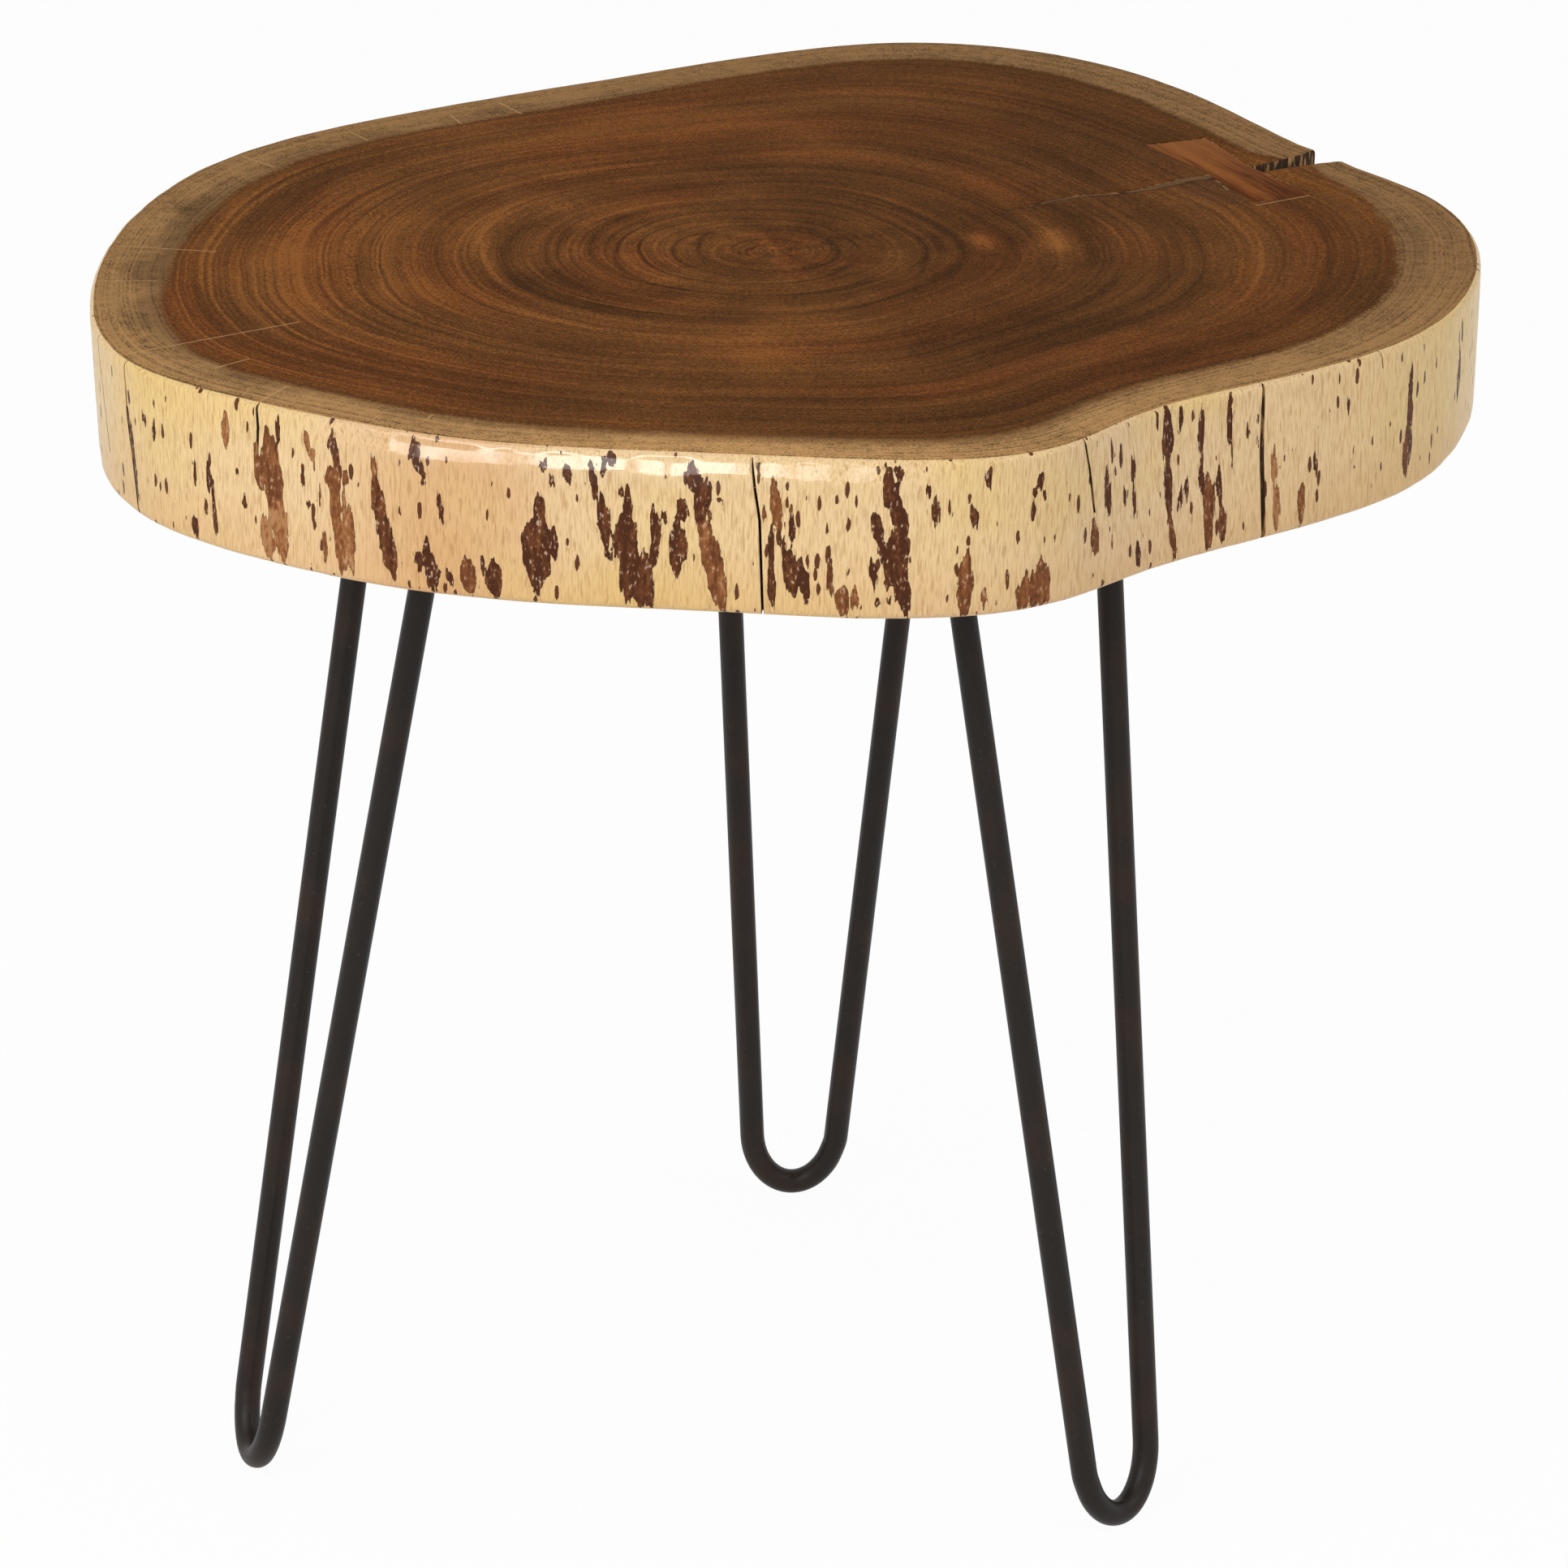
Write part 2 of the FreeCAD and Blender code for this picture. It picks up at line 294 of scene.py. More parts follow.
# Places on the photograph, in its pixels. Hairline checks in the bark face: half the width in
# millimetres, and the places that each runs through
HAIRLINES = (
    (0.80, ((153, 454), (157, 512), (165, 570), (172, 622))),
    (0.80, ((316, 510), (318, 526), (317, 560))),
    (0.60, ((926, 575), (930, 600), (936, 640), (940, 752))),
    (0.75, ((1336, 551), (1343, 579), (1349, 632))),
    (1.40, ((1557, 496), (1555, 560), (1557, 655))),
    (0.45, ((1702, 438), (1704, 454))),
    (0.45, ((122, 448), (129, 500), (137, 556))),
)

# Pale radial scratches in the top: from, to
SCRATCHES = (
    ((146, 303), (266, 310)), ((129, 346), (192, 346)), ((157, 436), (367, 397)), ((266, 453), (307, 442)),
    ((318, 496), (353, 476)), ((522, 519), (533, 511)), ((298, 192), (338, 206)), ((433, 163), (453, 173)),
    ((556, 143), (568, 152)), ((614, 126), (642, 140)), ((1548, 253), (1612, 241)),
    ((1499, 223), (1503, 225)), ((1507, 229), (1513, 234)),
)

# Lighter and darker patches of the rings. The golden ones to the right of the pith are painted sheen, the
# shimmer that the end grain throws back there; the rest are lighter and darker rings and patches. Each gives
# x, y, reach round the pith in degrees, reach outwards as a share of the way to the bark, and how much
# lighter, or darker where below 0
RING_SHEEN_AND_PATCHES = (
    (1205, 298, 12, 0.030, 0.34), (1297, 296, 11, 0.035, 0.30), (1247, 298, 10, 0.025, -0.16),
    (1150, 300, 14, 0.035, -0.14), (700, 362, 24, 0.10, -0.16), (1240, 410, 26, 0.16, -0.2),
    (955, 425, 8, 0.30, 0.08), (330, 345, 26, 0.16, 0.06), (1340, 180, 24, 0.16, -0.14),
    (955, 307, 90, 0.05, 0.12), (880, 330, 60, 0.07, -0.12), (1031, 316, 150, 0.010, -0.24),
    (1139, 312, 130, 0.008, -0.16), (1182, 310, 130, 0.012, -0.2), (672, 300, 110, 0.014, -0.08),
    (620, 300, 90, 0.010, -0.06), (1430, 300, 60, 0.010, -0.12), (1340, 300, 18, 0.020, -0.16),
    (1384, 303, 22, 0.010, 0.16), (1443, 310, 16, 0.008, 0.14), (1492, 306, 18, 0.008, 0.12),
    (1552, 318, 16, 0.010, 0.12), (1651, 314, 14, 0.008, 0.12), (1299, 295, 32, 0.014, 0.2),
)

# Flecks of bark left on the face: x and y of the upper end, x and y of the lower end, width
FLECKS = (
    (176, 508, 179, 524, 6), (189, 520, 190, 540, 5), (158, 505, 166, 560, 6), (163, 545, 170, 590, 7),
    (168, 580, 173, 620, 5), (183, 589, 184, 601, 5), (196, 591, 197, 603, 5), (240, 567, 241, 592, 4),
    (277, 503, 279, 554, 11), (254, 567, 262, 615, 7), (262, 612, 268, 659, 9), (253, 612, 254, 628, 5),
    (238, 635, 243, 660, 12), (292, 578, 293, 587, 5), (301, 611, 302, 627, 7), (342, 511, 344, 548, 6),
    (330, 533, 342, 640, 27), (340, 600, 350, 690, 24), (316, 552, 322, 606, 14),
    (325, 635, 333, 687, 16), (376, 529, 386, 571, 11), (393, 592, 396, 634, 7), (374, 582, 375, 597, 6),
    (382, 614, 382, 627, 6), (399, 656, 403, 693, 7), (407, 532, 418, 577, 13), (407, 574, 415, 606, 24),
    (428, 577, 427, 601, 11), (411, 598, 424, 703, 15), (425, 604, 436, 703, 14), (460, 555, 463, 593, 7),
    (463, 588, 472, 650, 19), (470, 630, 486, 707, 21), (496, 684, 498, 711, 7), (514, 676, 517, 704, 7),
    (526, 668, 536, 725, 14), (550, 697, 556, 722, 8), (508, 542, 513, 571, 12), (514, 563, 523, 586, 7),
    (522, 590, 522, 599, 5), (542, 610, 547, 647, 5), (572, 686, 580, 730, 18), (607, 693, 611, 734, 21),
    (595, 680, 596, 708, 5), (666, 610, 664, 650, 13), (664, 634, 663, 722, 32), (650, 652, 652, 677, 13),
    (681, 652, 685, 686, 10), (670, 569, 671, 582, 6), (682, 589, 682, 600, 5), (608, 589, 609, 599, 5),
    (692, 554, 693, 564, 7), (697, 571, 702, 594, 9), (728, 571, 735, 616, 8), (743, 568, 744, 585, 6),
    (752, 556, 754, 575, 8), (741, 611, 748, 670, 15), (750, 677, 751, 690, 8), (776, 605, 775, 642, 12),
    (773, 630, 770, 692, 28), (769, 686, 774, 742, 13), (780, 676, 790, 743, 18),
    (793, 678, 803, 740, 15), (765, 597, 765, 613, 6), (804, 625, 812, 673, 12), (806, 669, 806, 701, 10),
    (817, 627, 820, 648, 6), (828, 655, 835, 710, 13), (838, 611, 844, 641, 13), (836, 630, 833, 661, 8),
    (842, 649, 845, 694, 10), (853, 677, 855, 693, 7), (850, 572, 857, 606, 18), (857, 598, 866, 652, 13),
    (864, 636, 892, 750, 23), (871, 593, 873, 622, 9), (872, 623, 880, 657, 7), (884, 611, 889, 619, 8),
    (884, 660, 889, 690, 5), (934, 568, 935, 588, 6), (953, 593, 960, 656, 14), (951, 650, 950, 691, 8),
    (947, 689, 953, 747, 10), (961, 655, 963, 680, 6), (974, 637, 977, 667, 9), (972, 619, 973, 633, 6),
    (970, 675, 978, 730, 17), (984, 684, 993, 738, 13), (942, 623, 944, 643, 6),
    (1022, 684, 1027, 745, 9), (1030, 724, 1034, 752, 11), (1041, 721, 1043, 755, 11),
    (1054, 725, 1058, 756, 8), (1081, 735, 1082, 750, 7), (1095, 735, 1096, 747, 6),
    (1107, 573, 1109, 593, 10), (1094, 581, 1100, 627, 17), (1102, 608, 1112, 661, 18),
    (1078, 629, 1082, 673, 12), (1084, 664, 1090, 685, 12), (1102, 658, 1104, 723, 30),
    (1113, 710, 1118, 757, 15), (1076, 687, 1078, 727, 8), (1094, 711, 1094, 725, 6),
    (1153, 609, 1153, 651, 9), (1143, 597, 1145, 611, 6), (1170, 621, 1171, 641, 5),
    (1197, 618, 1202, 648, 11), (1215, 581, 1221, 602, 6), (1283, 582, 1283, 602, 11),
    (1275, 599, 1277, 613, 6), (1287, 602, 1289, 615, 5), (1273, 621, 1273, 638, 7),
    (1191, 682, 1190, 754, 18), (1183, 716, 1185, 754, 9), (1211, 721, 1213, 747, 8),
    (1226, 734, 1227, 747, 5), (1241, 703, 1243, 723, 6), (1254, 721, 1254, 749, 11),
    (1263, 710, 1262, 750, 14), (1272, 706, 1272, 749, 14), (1281, 683, 1282, 747, 14),
    (1289, 699, 1290, 744, 9), (1348, 643, 1351, 685, 14), (1368, 534, 1371, 569, 8),
    (1380, 547, 1381, 573, 5), (1364, 579, 1367, 641, 12), (1367, 635, 1370, 673, 6),
    (1395, 566, 1396, 593, 8), (1396, 599, 1401, 646, 7), (1386, 601, 1387, 627, 6),
    (1402, 669, 1404, 701, 10), (1437, 502, 1439, 572, 17), (1438, 564, 1441, 634, 14),
    (1440, 627, 1447, 690, 8), (1423, 504, 1424, 533, 6), (1455, 507, 1455, 531, 7),
    (1455, 599, 1456, 629, 8), (1461, 587, 1463, 613, 7), (1480, 502, 1480, 561, 9),
    (1481, 554, 1482, 601, 6), (1480, 577, 1483, 611, 10), (1487, 588, 1490, 671, 20),
    (1503, 577, 1504, 621, 8), (1505, 623, 1507, 667, 13), (1515, 493, 1516, 546, 10),
    (1518, 539, 1520, 589, 6), (1537, 527, 1538, 538, 5), (1548, 516, 1549, 546, 5),
    (1570, 545, 1570, 601, 9), (1571, 594, 1572, 650, 11), (1602, 593, 1603, 644, 11),
    (1620, 561, 1621, 584, 6), (1670, 569, 1670, 584, 6), (1662, 485, 1663, 512, 6),
    (1649, 459, 1650, 473, 5), (1740, 445, 1737, 493, 9), (1737, 484, 1735, 532, 14),
    (1735, 518, 1730, 586, 19), (1754, 420, 1754, 433, 5), (1802, 390, 1802, 425, 8),
    (1799, 415, 1798, 470, 7), (1796, 455, 1795, 496, 7),
)

# The flecks' outlines: millimetres to a pixel of width, the share cut off at each end to make it blunt, the
# power by which the width falls off, and how slowly it tapers past the ends. In millimetres: how far prongs
# and nicks reach, where the bark begins and is whole, and how far outside a point counts as at most
FLECK_PIXEL_MM = 0.32
FLECK_END = 0.04
FLECK_NARROWING = 0.6
END_TAPER = 0.45
PRONG_REACH = 4.2
NICK_REACH = 1.6
FLECK_EDGE = (-0.08, 0.14)
FLECK_FAR = -6.0

# Where the flecks are worn pale: x, y, reach, and how pale from 0 to 1
WORN_PLACES = (
    (278, 527, 30, 0.9), (347, 663, 45, 1.0), (325, 660, 30, 0.9), (337, 580, 50, 0.5),
    (383, 553, 30, 0.8), (425, 650, 65, 0.75), (417, 577, 30, 0.5), (465, 575, 25, 0.7),
    (577, 707, 25, 0.4), (877, 673, 45, 0.5), (893, 735, 40, 0.7), (957, 620, 35, 0.6),
    (1035, 740, 35, 0.6), (1192, 730, 40, 0.5), (1272, 720, 40, 0.55), (1350, 662, 25, 0.5),
    (1440, 640, 40, 0.4), (1487, 640, 30, 0.45), (1570, 590, 60, 0.95), (1735, 550, 60, 0.3),
)

# A pixel traced just past the slab's edge may lie this far off it
NEAR_MISS = 15 * MM

# Flecks round the back, which the photograph doesn't show: how many, between which headings, and by which
# seed; in millimetres their lengths, their least width and how far they lean; and how much lengths vary, what
# share of the length is added to the width, and how pale they are at most. Long ones start near the top
UNSEEN_FLECKS = 130
UNSEEN_HEADINGS = (5.0, 180.0)
FLECK_SEED = 7
UNSEEN_LENGTHS = (6, 9, 13, 18, 28, 36)
UNSEEN_LEAST_WIDTH = 1.6
UNSEEN_LEAN = (-2, 3)
UNSEEN_VARIETY = (0.8, 1.2)
UNSEEN_WIDENING = (0.03, 0.2)
UNSEEN_PALEST = 0.8
UNSEEN_LONG = 40 * MM
UNSEEN_DROP = 6 * MM
UNSEEN_LONG_DROP = 8 * MM


def screen(red, green, blue):
    """A colour given as it looks on screen, 0 to 255, as the linear values that shaders take."""
    return tuple(Color((red / 255, green / 255, blue / 255)).from_srgb_to_scene_linear())


def heading_vector(angle):
    return Vector((math.cos(angle), math.sin(angle)))


def heading_from_pith(place):
    return math.atan2(place.y - PITH.y, place.x - PITH.x)


def noise_at(x, y, z, pace):
    """Noise from about -1 to 1, by how often it repeats in a metre, sideways and upright."""
    sideways, upright = pace
    return noise.noise(Vector((x * sideways, y * sideways, z * upright)))


# The photograph's camera

def camera_turn():
    level = Matrix.Rotation(math.pi / 2 - CAMERA_DIP, 3, "X")
    return level @ Matrix.Rotation(CAMERA_ROLL, 3, "Z")


def photo_ray(x, y):
    """The direction in which the camera sees a pixel of the photograph."""
    focal = LENS_MM / SENSOR_MM * PHOTO_PIXELS
    half = PHOTO_PIXELS / 2
    return (camera_turn() @ Vector((x - half, half - y, -focal))).normalized()


def seen_at_height(x, y, height):
    """The place at a height that a pixel of the photograph shows."""
    ray = photo_ray(x, y)
    return CAMERA_PLACE + ray * ((height - CAMERA_PLACE.z) / ray.z)


def seen_on(rim, x, y):
    """The place on the slab that a pixel of the photograph shows, or the nearest one just past the edge."""
    place = rim.tree.ray_cast(CAMERA_PLACE, photo_ray(x, y))[0]
    if place is None:
        place, _, _, away = rim.tree.find_nearest(seen_at_height(x, y, rim.base))
        if away > NEAR_MISS:
            raise ValueError(f"pixel {x}, {y} of the photograph is {away / MM:.0f} mm off the slab")
    return place


# Materials

class Socket:
    """A node's output, with arithmetic that adds Math nodes."""

    def __init__(self, finish, output):
        self.finish = finish
        self.output = output

    def math(self, operation, first, second):
        return self.finish.node("ShaderNodeMath", {"operation": operation}, {0: first, 1: second})

    def absolute(self):
        return self.math("ABSOLUTE", self, 0.0)

    def swing(self, reach):
        """A value from 0 to 1 made to swing round 0, by half the reach each way."""
        return (self - 0.5) * reach

    def __add__(self, other):
        return self.math("ADD", self, other)

    def __radd__(self, other):
        return self.math("ADD", other, self)

    def __sub__(self, other):
        return self.math("SUBTRACT", self, other)

    def __rsub__(self, other):
        return self.math("SUBTRACT", other, self)

    def __mul__(self, other):
        return self.math("MULTIPLY", self, other)

    def __rmul__(self, other):
        return self.math("MULTIPLY", other, self)


class Finish:
    """A material's or a world's nodes, built up one by one."""

    def __init__(self, owner):
        owner.use_nodes = True
        self.owner = owner
        self.tree = owner.node_tree
        self.shader = next(n for n in self.tree.nodes if n.type in ("BSDF_PRINCIPLED", "BACKGROUND"))

    def node(self, kind, settings=None, inputs=None, output=0):
        """Adds a node: its settings come first, then the values or links of its sockets."""
        node = self.tree.nodes.new(kind)
        for name, value in (settings or {}).items():
            if name == "stops":
                set_stops(node.color_ramp, value)
            else:
                setattr(node, name, value)
        for name, value in (inputs or {}).items():
            self.connect(node.inputs[name], value)
        return Socket(self, node.outputs[output])

    def connect(self, target, value):
        if isinstance(value, Socket):
            self.tree.links.new(value.output, target)
        elif target.type == "RGBA" and len(value) == 3:
            target.default_value = (*value, 1.0)
        else:
            target.default_value = value

    def surface(self, **inputs):
        """Sets the shader's own sockets; an underscore stands for a space in a socket's name."""
        for name, value in inputs.items():
            self.connect(self.shader.inputs[name.replace("_", " ")], value)

    def place(self):
        return self.node("ShaderNodeTexCoord", output="Object")

    def attribute(self, name):
        return self.node("ShaderNodeAttribute", {"attribute_name": name}, output="Fac")

    def vector(self, x, y, z):
        return self.node("ShaderNodeCombineXYZ", None, {0: x, 1: y, 2: z})

    def axes(self, vector):
        return [self.node("ShaderNodeSeparateXYZ", None, {0: vector}, axis) for axis in range(3)]

    def vector_math(self, operation, first, second=(0.0, 0.0, 0.0), output=0):
        return self.node("ShaderNodeVectorMath", {"operation": operation}, {0: first, 1: second}, output)

    def noise(self, vector, scale, detail=2.0):
        """Noise from 0 to 1 that is 0.5 on average."""
        return self.node("ShaderNodeTexNoise", None, {"Vector": vector, "Scale": scale, "Detail": detail})

    def grain(self, vector, pace, detail=2.0):
        """Noise that is drawn out, by how often it repeats in a metre along each axis."""
        return self.noise(self.vector_math("MULTIPLY", vector, pace), 1.0, detail)

    def band(self, value, low, high):
        """Rises smoothly from 0 to 1 as a value goes from low to high."""
        return self.node("ShaderNodeMapRange", {"interpolation_type": "SMOOTHSTEP"},
                         {"Value": value, "From Min": low, "From Max": high})

    def ramp(self, value, stops, interpolation="LINEAR"):
        """A colour, or a grey taken as a value, by stops from 0 to 1."""
        return self.node("ShaderNodeValToRGB", {"stops": (stops, interpolation)}, {"Fac": value})

    def blend(self, factor, first, second, kind="MIX"):
        """Mixes two colours."""
        return self.node("ShaderNodeMix", {"data_type": "RGBA", "blend_type": kind},
                         {"Factor": factor, 6: first, 7: second}, 2)

    def bump(self, height, depth):
        """Tilts the surface by a height from 0 to 1 that stands for a depth in metres."""
        self.surface(Normal=self.node("ShaderNodeBump", None, {"Height": height, "Distance": depth}))


def new_finish(name):
    return Finish(bpy.data.materials.new(name))


def set_stops(ramp, stops_and_interpolation):
    stops, ramp.interpolation = stops_and_interpolation
    while len(ramp.elements) < len(stops):
        ramp.elements.new(1.0)
    for element, (position, colour) in zip(ramp.elements, stops):
        element.position = position
        tone = (colour,) * 3 if isinstance(colour, float) else colour
        element.color = (*tone, 1.0)


def pith_heading(finish, place):
    """The level direction from the pith to a place."""
    off = finish.vector_math("SUBTRACT", place, (PITH.x, PITH.y, 0.0))
    return finish.vector_math("NORMALIZE", finish.vector_math("MULTIPLY", off, (1.0, 1.0, 0.0)))


def by_heading(finish, heading, stops):
    """A value that changes smoothly with the heading from the pith, by degrees from -180 to 180."""
    across, along, _ = finish.axes(heading)
    angle = finish.node("ShaderNodeMath", {"operation": "ARCTAN2"}, {0: along, 1: across})
    return finish.ramp(angle * (1 / TURN) + 0.5, [((degrees + 180) / 360, value) for degrees, value in stops],
                       "EASE")


def scratch_mask(finish, place, height):
    """1 on the pale radial scratches of the top."""
    nearest = None
    for first, last in SCRATCHES:
        start = seen_at_height(*first, height)
        run = seen_at_height(*last, height) - start
        off = finish.vector_math("SUBTRACT", place, start)
        along = finish.vector_math("DOT_PRODUCT", off, run * (1 / run.length_squared), "Value")
        along = finish.node("ShaderNodeClamp", None, {"Value": along})
        beside = finish.vector_math("SUBTRACT", off, scaled(finish, run, along))
        away = finish.vector_math("LENGTH", beside, output="Value")
        nearest = away if nearest is None else nearest.math("MINIMUM", nearest, away)
    return 1 - finish.band(nearest, *SCRATCH_FADE)


def scaled(finish, vector, factor):
    return finish.node("ShaderNodeVectorMath", {"operation": "SCALE"}, {0: vector, "Scale": factor})


def ring_sheen_and_patches(finish, rim, heading, growth):
    """How much lighter or darker the rings are by the patches seen on the photograph."""
    # The golden patches right of the pith are painted sheen drawn into the colour; the darker ones are darker
    # rings
    total = None
    for x, y, reach_degrees, reach_out, strength in RING_SHEEN_AND_PATCHES:
        off = seen_at_height(x, y, rim.top).xy - PITH
        share = rim.share_at(off)
        facing = finish.vector_math("DOT_PRODUCT", heading, (*off.normalized(), 0.0), "Value")
        near = finish.band(facing, math.cos(math.radians(reach_degrees)), 1.0)
        away = (growth - share).absolute()
        patch = near * (1 - finish.band(away, 0.0, reach_out)) * strength
        total = patch if total is None else total + patch
    return total


def rings(finish, heading, growth, count, turn, detail):
    """Noise drawn out along the growth rings."""
    across, along, _ = finish.axes(heading)
    return finish.noise(finish.vector(across * turn, along * turn, growth * count), 1.0, detail)


def ring_lines(finish, heading, growth, count, turn, width):
    """Thin lines where smooth rings pass through their middle value."""
    off_middle = rings(finish, heading, growth, count, turn, 0.0) - 0.5
    return 1 - finish.band(off_middle.absolute(), 0.0, width)


def heartwood(finish, look, rim, place, heading, growth):
    """Brown rings that darken and lighten along the way out and round the pith."""
    pores = finish.noise(place, HEART_PORES)
    patch = finish.noise(place, HEART_PATCHES)
    clear = by_heading(finish, heading, CLEAR_RINGS)
    # The heartwood's tone takes in painted sheen by way of the ring patches
    tone = by_heading(finish, heading, HEART_TONES) + ring_sheen_and_patches(finish, rim, heading, growth)
    for count, turn, detail, weight in RING_LAYERS:
        tone = tone + rings(finish, heading, growth, count, turn, detail).swing(weight)
    fine = rings(finish, heading, growth, *FINE_RINGS)
    tone = tone + (fine - 0.5) * (clear * 0.4 + 0.4) + patch.swing(0.4) + pores.swing(1.1)
    near_pith = 1 - finish.band(growth, 0.2, 0.5)
    here_and_there = finish.band(finish.noise(place, HEART_LINE_PATCHES, 1.0), 0.4, 0.62)
    dark = ring_lines(finish, heading, growth, *DARK_LINES) * (here_and_there * 0.6 + near_pith * 0.7)
    pale = ring_lines(finish, heading, growth, *PALE_LINES) * clear
    pale = pale * finish.band(growth, 0.25, 0.45) * finish.band(pores, 0.25, 0.6)
    tone = tone - dark * 0.2 + pale * 0.34
    colour = finish.ramp(tone, [(0.1, look.heart_dark), (0.5, look.heart_plain), (0.9, look.heart_light)])
    redness = finish.band(rings(finish, heading, growth, *RED_RINGS) + patch.swing(0.5), 0.44, 0.66)
    return finish.blend(redness * 0.15, colour, look.heart_red, "SOFT_LIGHT")


def sapwood(finish, look, place, heading, growth, share):
    """The pale outer ring, greyer towards the heartwood on the left and at the back."""
    fine = rings(finish, heading, growth, *SAPWOOD_RINGS)
    grain = finish.noise(place, SAPWOOD_GRAIN, 3.0)
    mottle = finish.noise(place, SAPWOOD_MOTTLE, 3.0)
    patch = finish.noise(place, SAPWOOD_PATCHES, 3.0)
    greyness = by_heading(finish, heading, GREY_SAPWOOD) * finish.band(share + patch.swing(1.2), 0.35, 0.95)
    colour = finish.blend(patch, look.sap_plain, look.sap_light)
    colour = finish.blend(by_heading(finish, heading, FRONT_SAPWOOD), colour, look.sap_front)
    colour = finish.blend(greyness, colour, look.sap_grey)
    shade = grain.swing(2.0) + fine.swing(1.6) + mottle.swing(0.9) + patch.swing(0.6) + 0.2
    return finish.blend(shade, colour, look.sap_shade)


def end_grain_colour(finish, look, rim, place, pores):
    """A log's end: heartwood with a darker border, fading out into the sapwood."""
    heading = pith_heading(finish, place)
    wander = finish.noise(place, RING_WANDER).swing(0.03) + finish.noise(place, RING_SHIVER).swing(0.006)
    growth = finish.attribute("growth") + wander
    share = finish.attribute("sapwood") + finish.noise(place, SAPWOOD_BORDER, 3.0).swing(0.22)
    heart = heartwood(finish, look, rim, place, heading, growth)
    border = finish.band(share, 0.97, SAPWOOD_END) * (1 - finish.band(share, SAPWOOD_END, 1.2))
    heart = finish.blend(border * 0.3, heart, look.heart_dark)
    sap = sapwood(finish, look, place, heading, growth, share)
    fade = by_heading(finish, heading, SAPWOOD_FADE)
    inward = finish.band(share + pores.swing(0.3), SAPWOOD_END - fade, SAPWOOD_END + fade * 0.4)
    return finish.blend(inward, sap, heart)


def top_finish(look, rim):
    """The top: flat varnish over the end grain, with pale scratches."""
    finish = new_finish("top_end_grain")
    place = finish.place()
    pores = finish.noise(place, END_PORES)
    colour = end_grain_colour(finish, look, rim, place, pores)
    scratches = scratch_mask(finish, place, rim.top)
    colour = finish.blend(scratches * 0.55, colour, look.scratch)
    finish.bump(pores - scratches * 0.5, PORE_DEPTH)
    finish.surface(Base_Color=colour, Roughness=0.6 + pores.swing(0.3), Specular_IOR_Level=TOP_SHINE)
    return finish.owner


def underside_finish(look, rim):
    """The underside: the same end grain, paler and rough from the saw."""
    finish = new_finish("sawn_end_grain")
    place = finish.place()
    pores = finish.noise(place, END_PORES)
    colour = end_grain_colour(finish, look, rim, place, pores)
    colour = finish.blend(0.35, colour, look.sap_light)
    finish.bump(finish.grain(place, SAW_MARKS) * 0.7 + pores * 0.3, SAW_DEPTH)
    finish.surface(Base_Color=colour, Roughness=0.8, Specular_IOR_Level=BARE_SHINE)
    return finish.owner


def face_colour(finish, look, rim, place, heading, grain):
    """Peeled wood: cream to pink, tanned here and there and darker towards the lower edge, grained upright,
    with dark dashes.
    """
    patch = finish.band(finish.grain(place, FACE_PATCHES), 0.2, 0.6)
    low = 1 - finish.band(finish.axes(place)[2], rim.base, rim.base + LOW_DARKENING_REACH)
    strokes = finish.grain(place, FACE_STROKES, 1.0)
    layers = (
        (patch * by_heading(finish, heading, PINK_FACE), look.face_pink),
        (by_heading(finish, heading, TANNED_FACE) * patch * 0.8, look.face_tan),
        (low * 0.35, look.face_tan),
        (finish.band(grain, 0.4, 0.7) * 0.45, look.face_grain),
        (finish.band(strokes, 0.62, 0.7) * 0.55, look.face_grain),
        (dashes(finish, place), look.face_dash),
    )
    colour = look.face_cream
    for share, layer in layers:
        colour = finish.blend(share, colour, layer)
    return colour


def dashes(finish, place):
    """1 on small upright dashes, gathered here and there."""
    drops = {"Vector": finish.vector_math("MULTIPLY", place, DASH_CELLS), "Scale": 1.0}
    away = finish.node("ShaderNodeTexVoronoi", None, drops)
    chance = finish.axes(finish.node("ShaderNodeTexVoronoi", None, drops, "Color"))[0]
    zone = finish.grain(place, DASH_ZONES)
    reach = finish.band(chance + zone.swing(1.2), 0.3, 1.05) * 0.3
    nicks = finish.grain(place, FLECK_NICKS, 1.0)
    return 1 - finish.band(away + nicks.swing(0.25) - reach, -0.04, 0.0)


def ragged_edge(finish, place):
    """Millimetres by which a fleck's outline wanders: upright prongs and small nicks."""
    prongs = finish.grain(place, FLECK_PRONGS, 3.0)
    return prongs.swing(PRONG_REACH) + finish.grain(place, FLECK_NICKS).swing(NICK_REACH)


def bark_colour(finish, look, place, crust, inside):
    """Dark bark, red-brown to tan where it is worn, with a dark edge and small bright specks of painted
    glint.
    """
    worn = finish.attribute("worn")
    streak = finish.grain(place, BARK_STREAKS)
    colour = finish.ramp(worn * 0.85 + crust.swing(1.3) + streak.swing(1.2) + 0.1, [
        (0.0, look.bark_dark), (0.45, look.bark_red), (0.75, look.bark_ochre), (1.0, look.bark_tan)])
    near_edge = 1 - finish.band(inside, 0.05, 0.45)
    colour = finish.blend(near_edge * (0.8 - worn * 0.5), colour, look.bark_edge)
    # Painted highlight: bright specks stand in for the varnish glinting on the rough bark
    specks = finish.band(crust, 0.6, 0.7) * (0.75 - worn * 0.5)
    return finish.blend(specks, colour, look.bark_glint_paint)


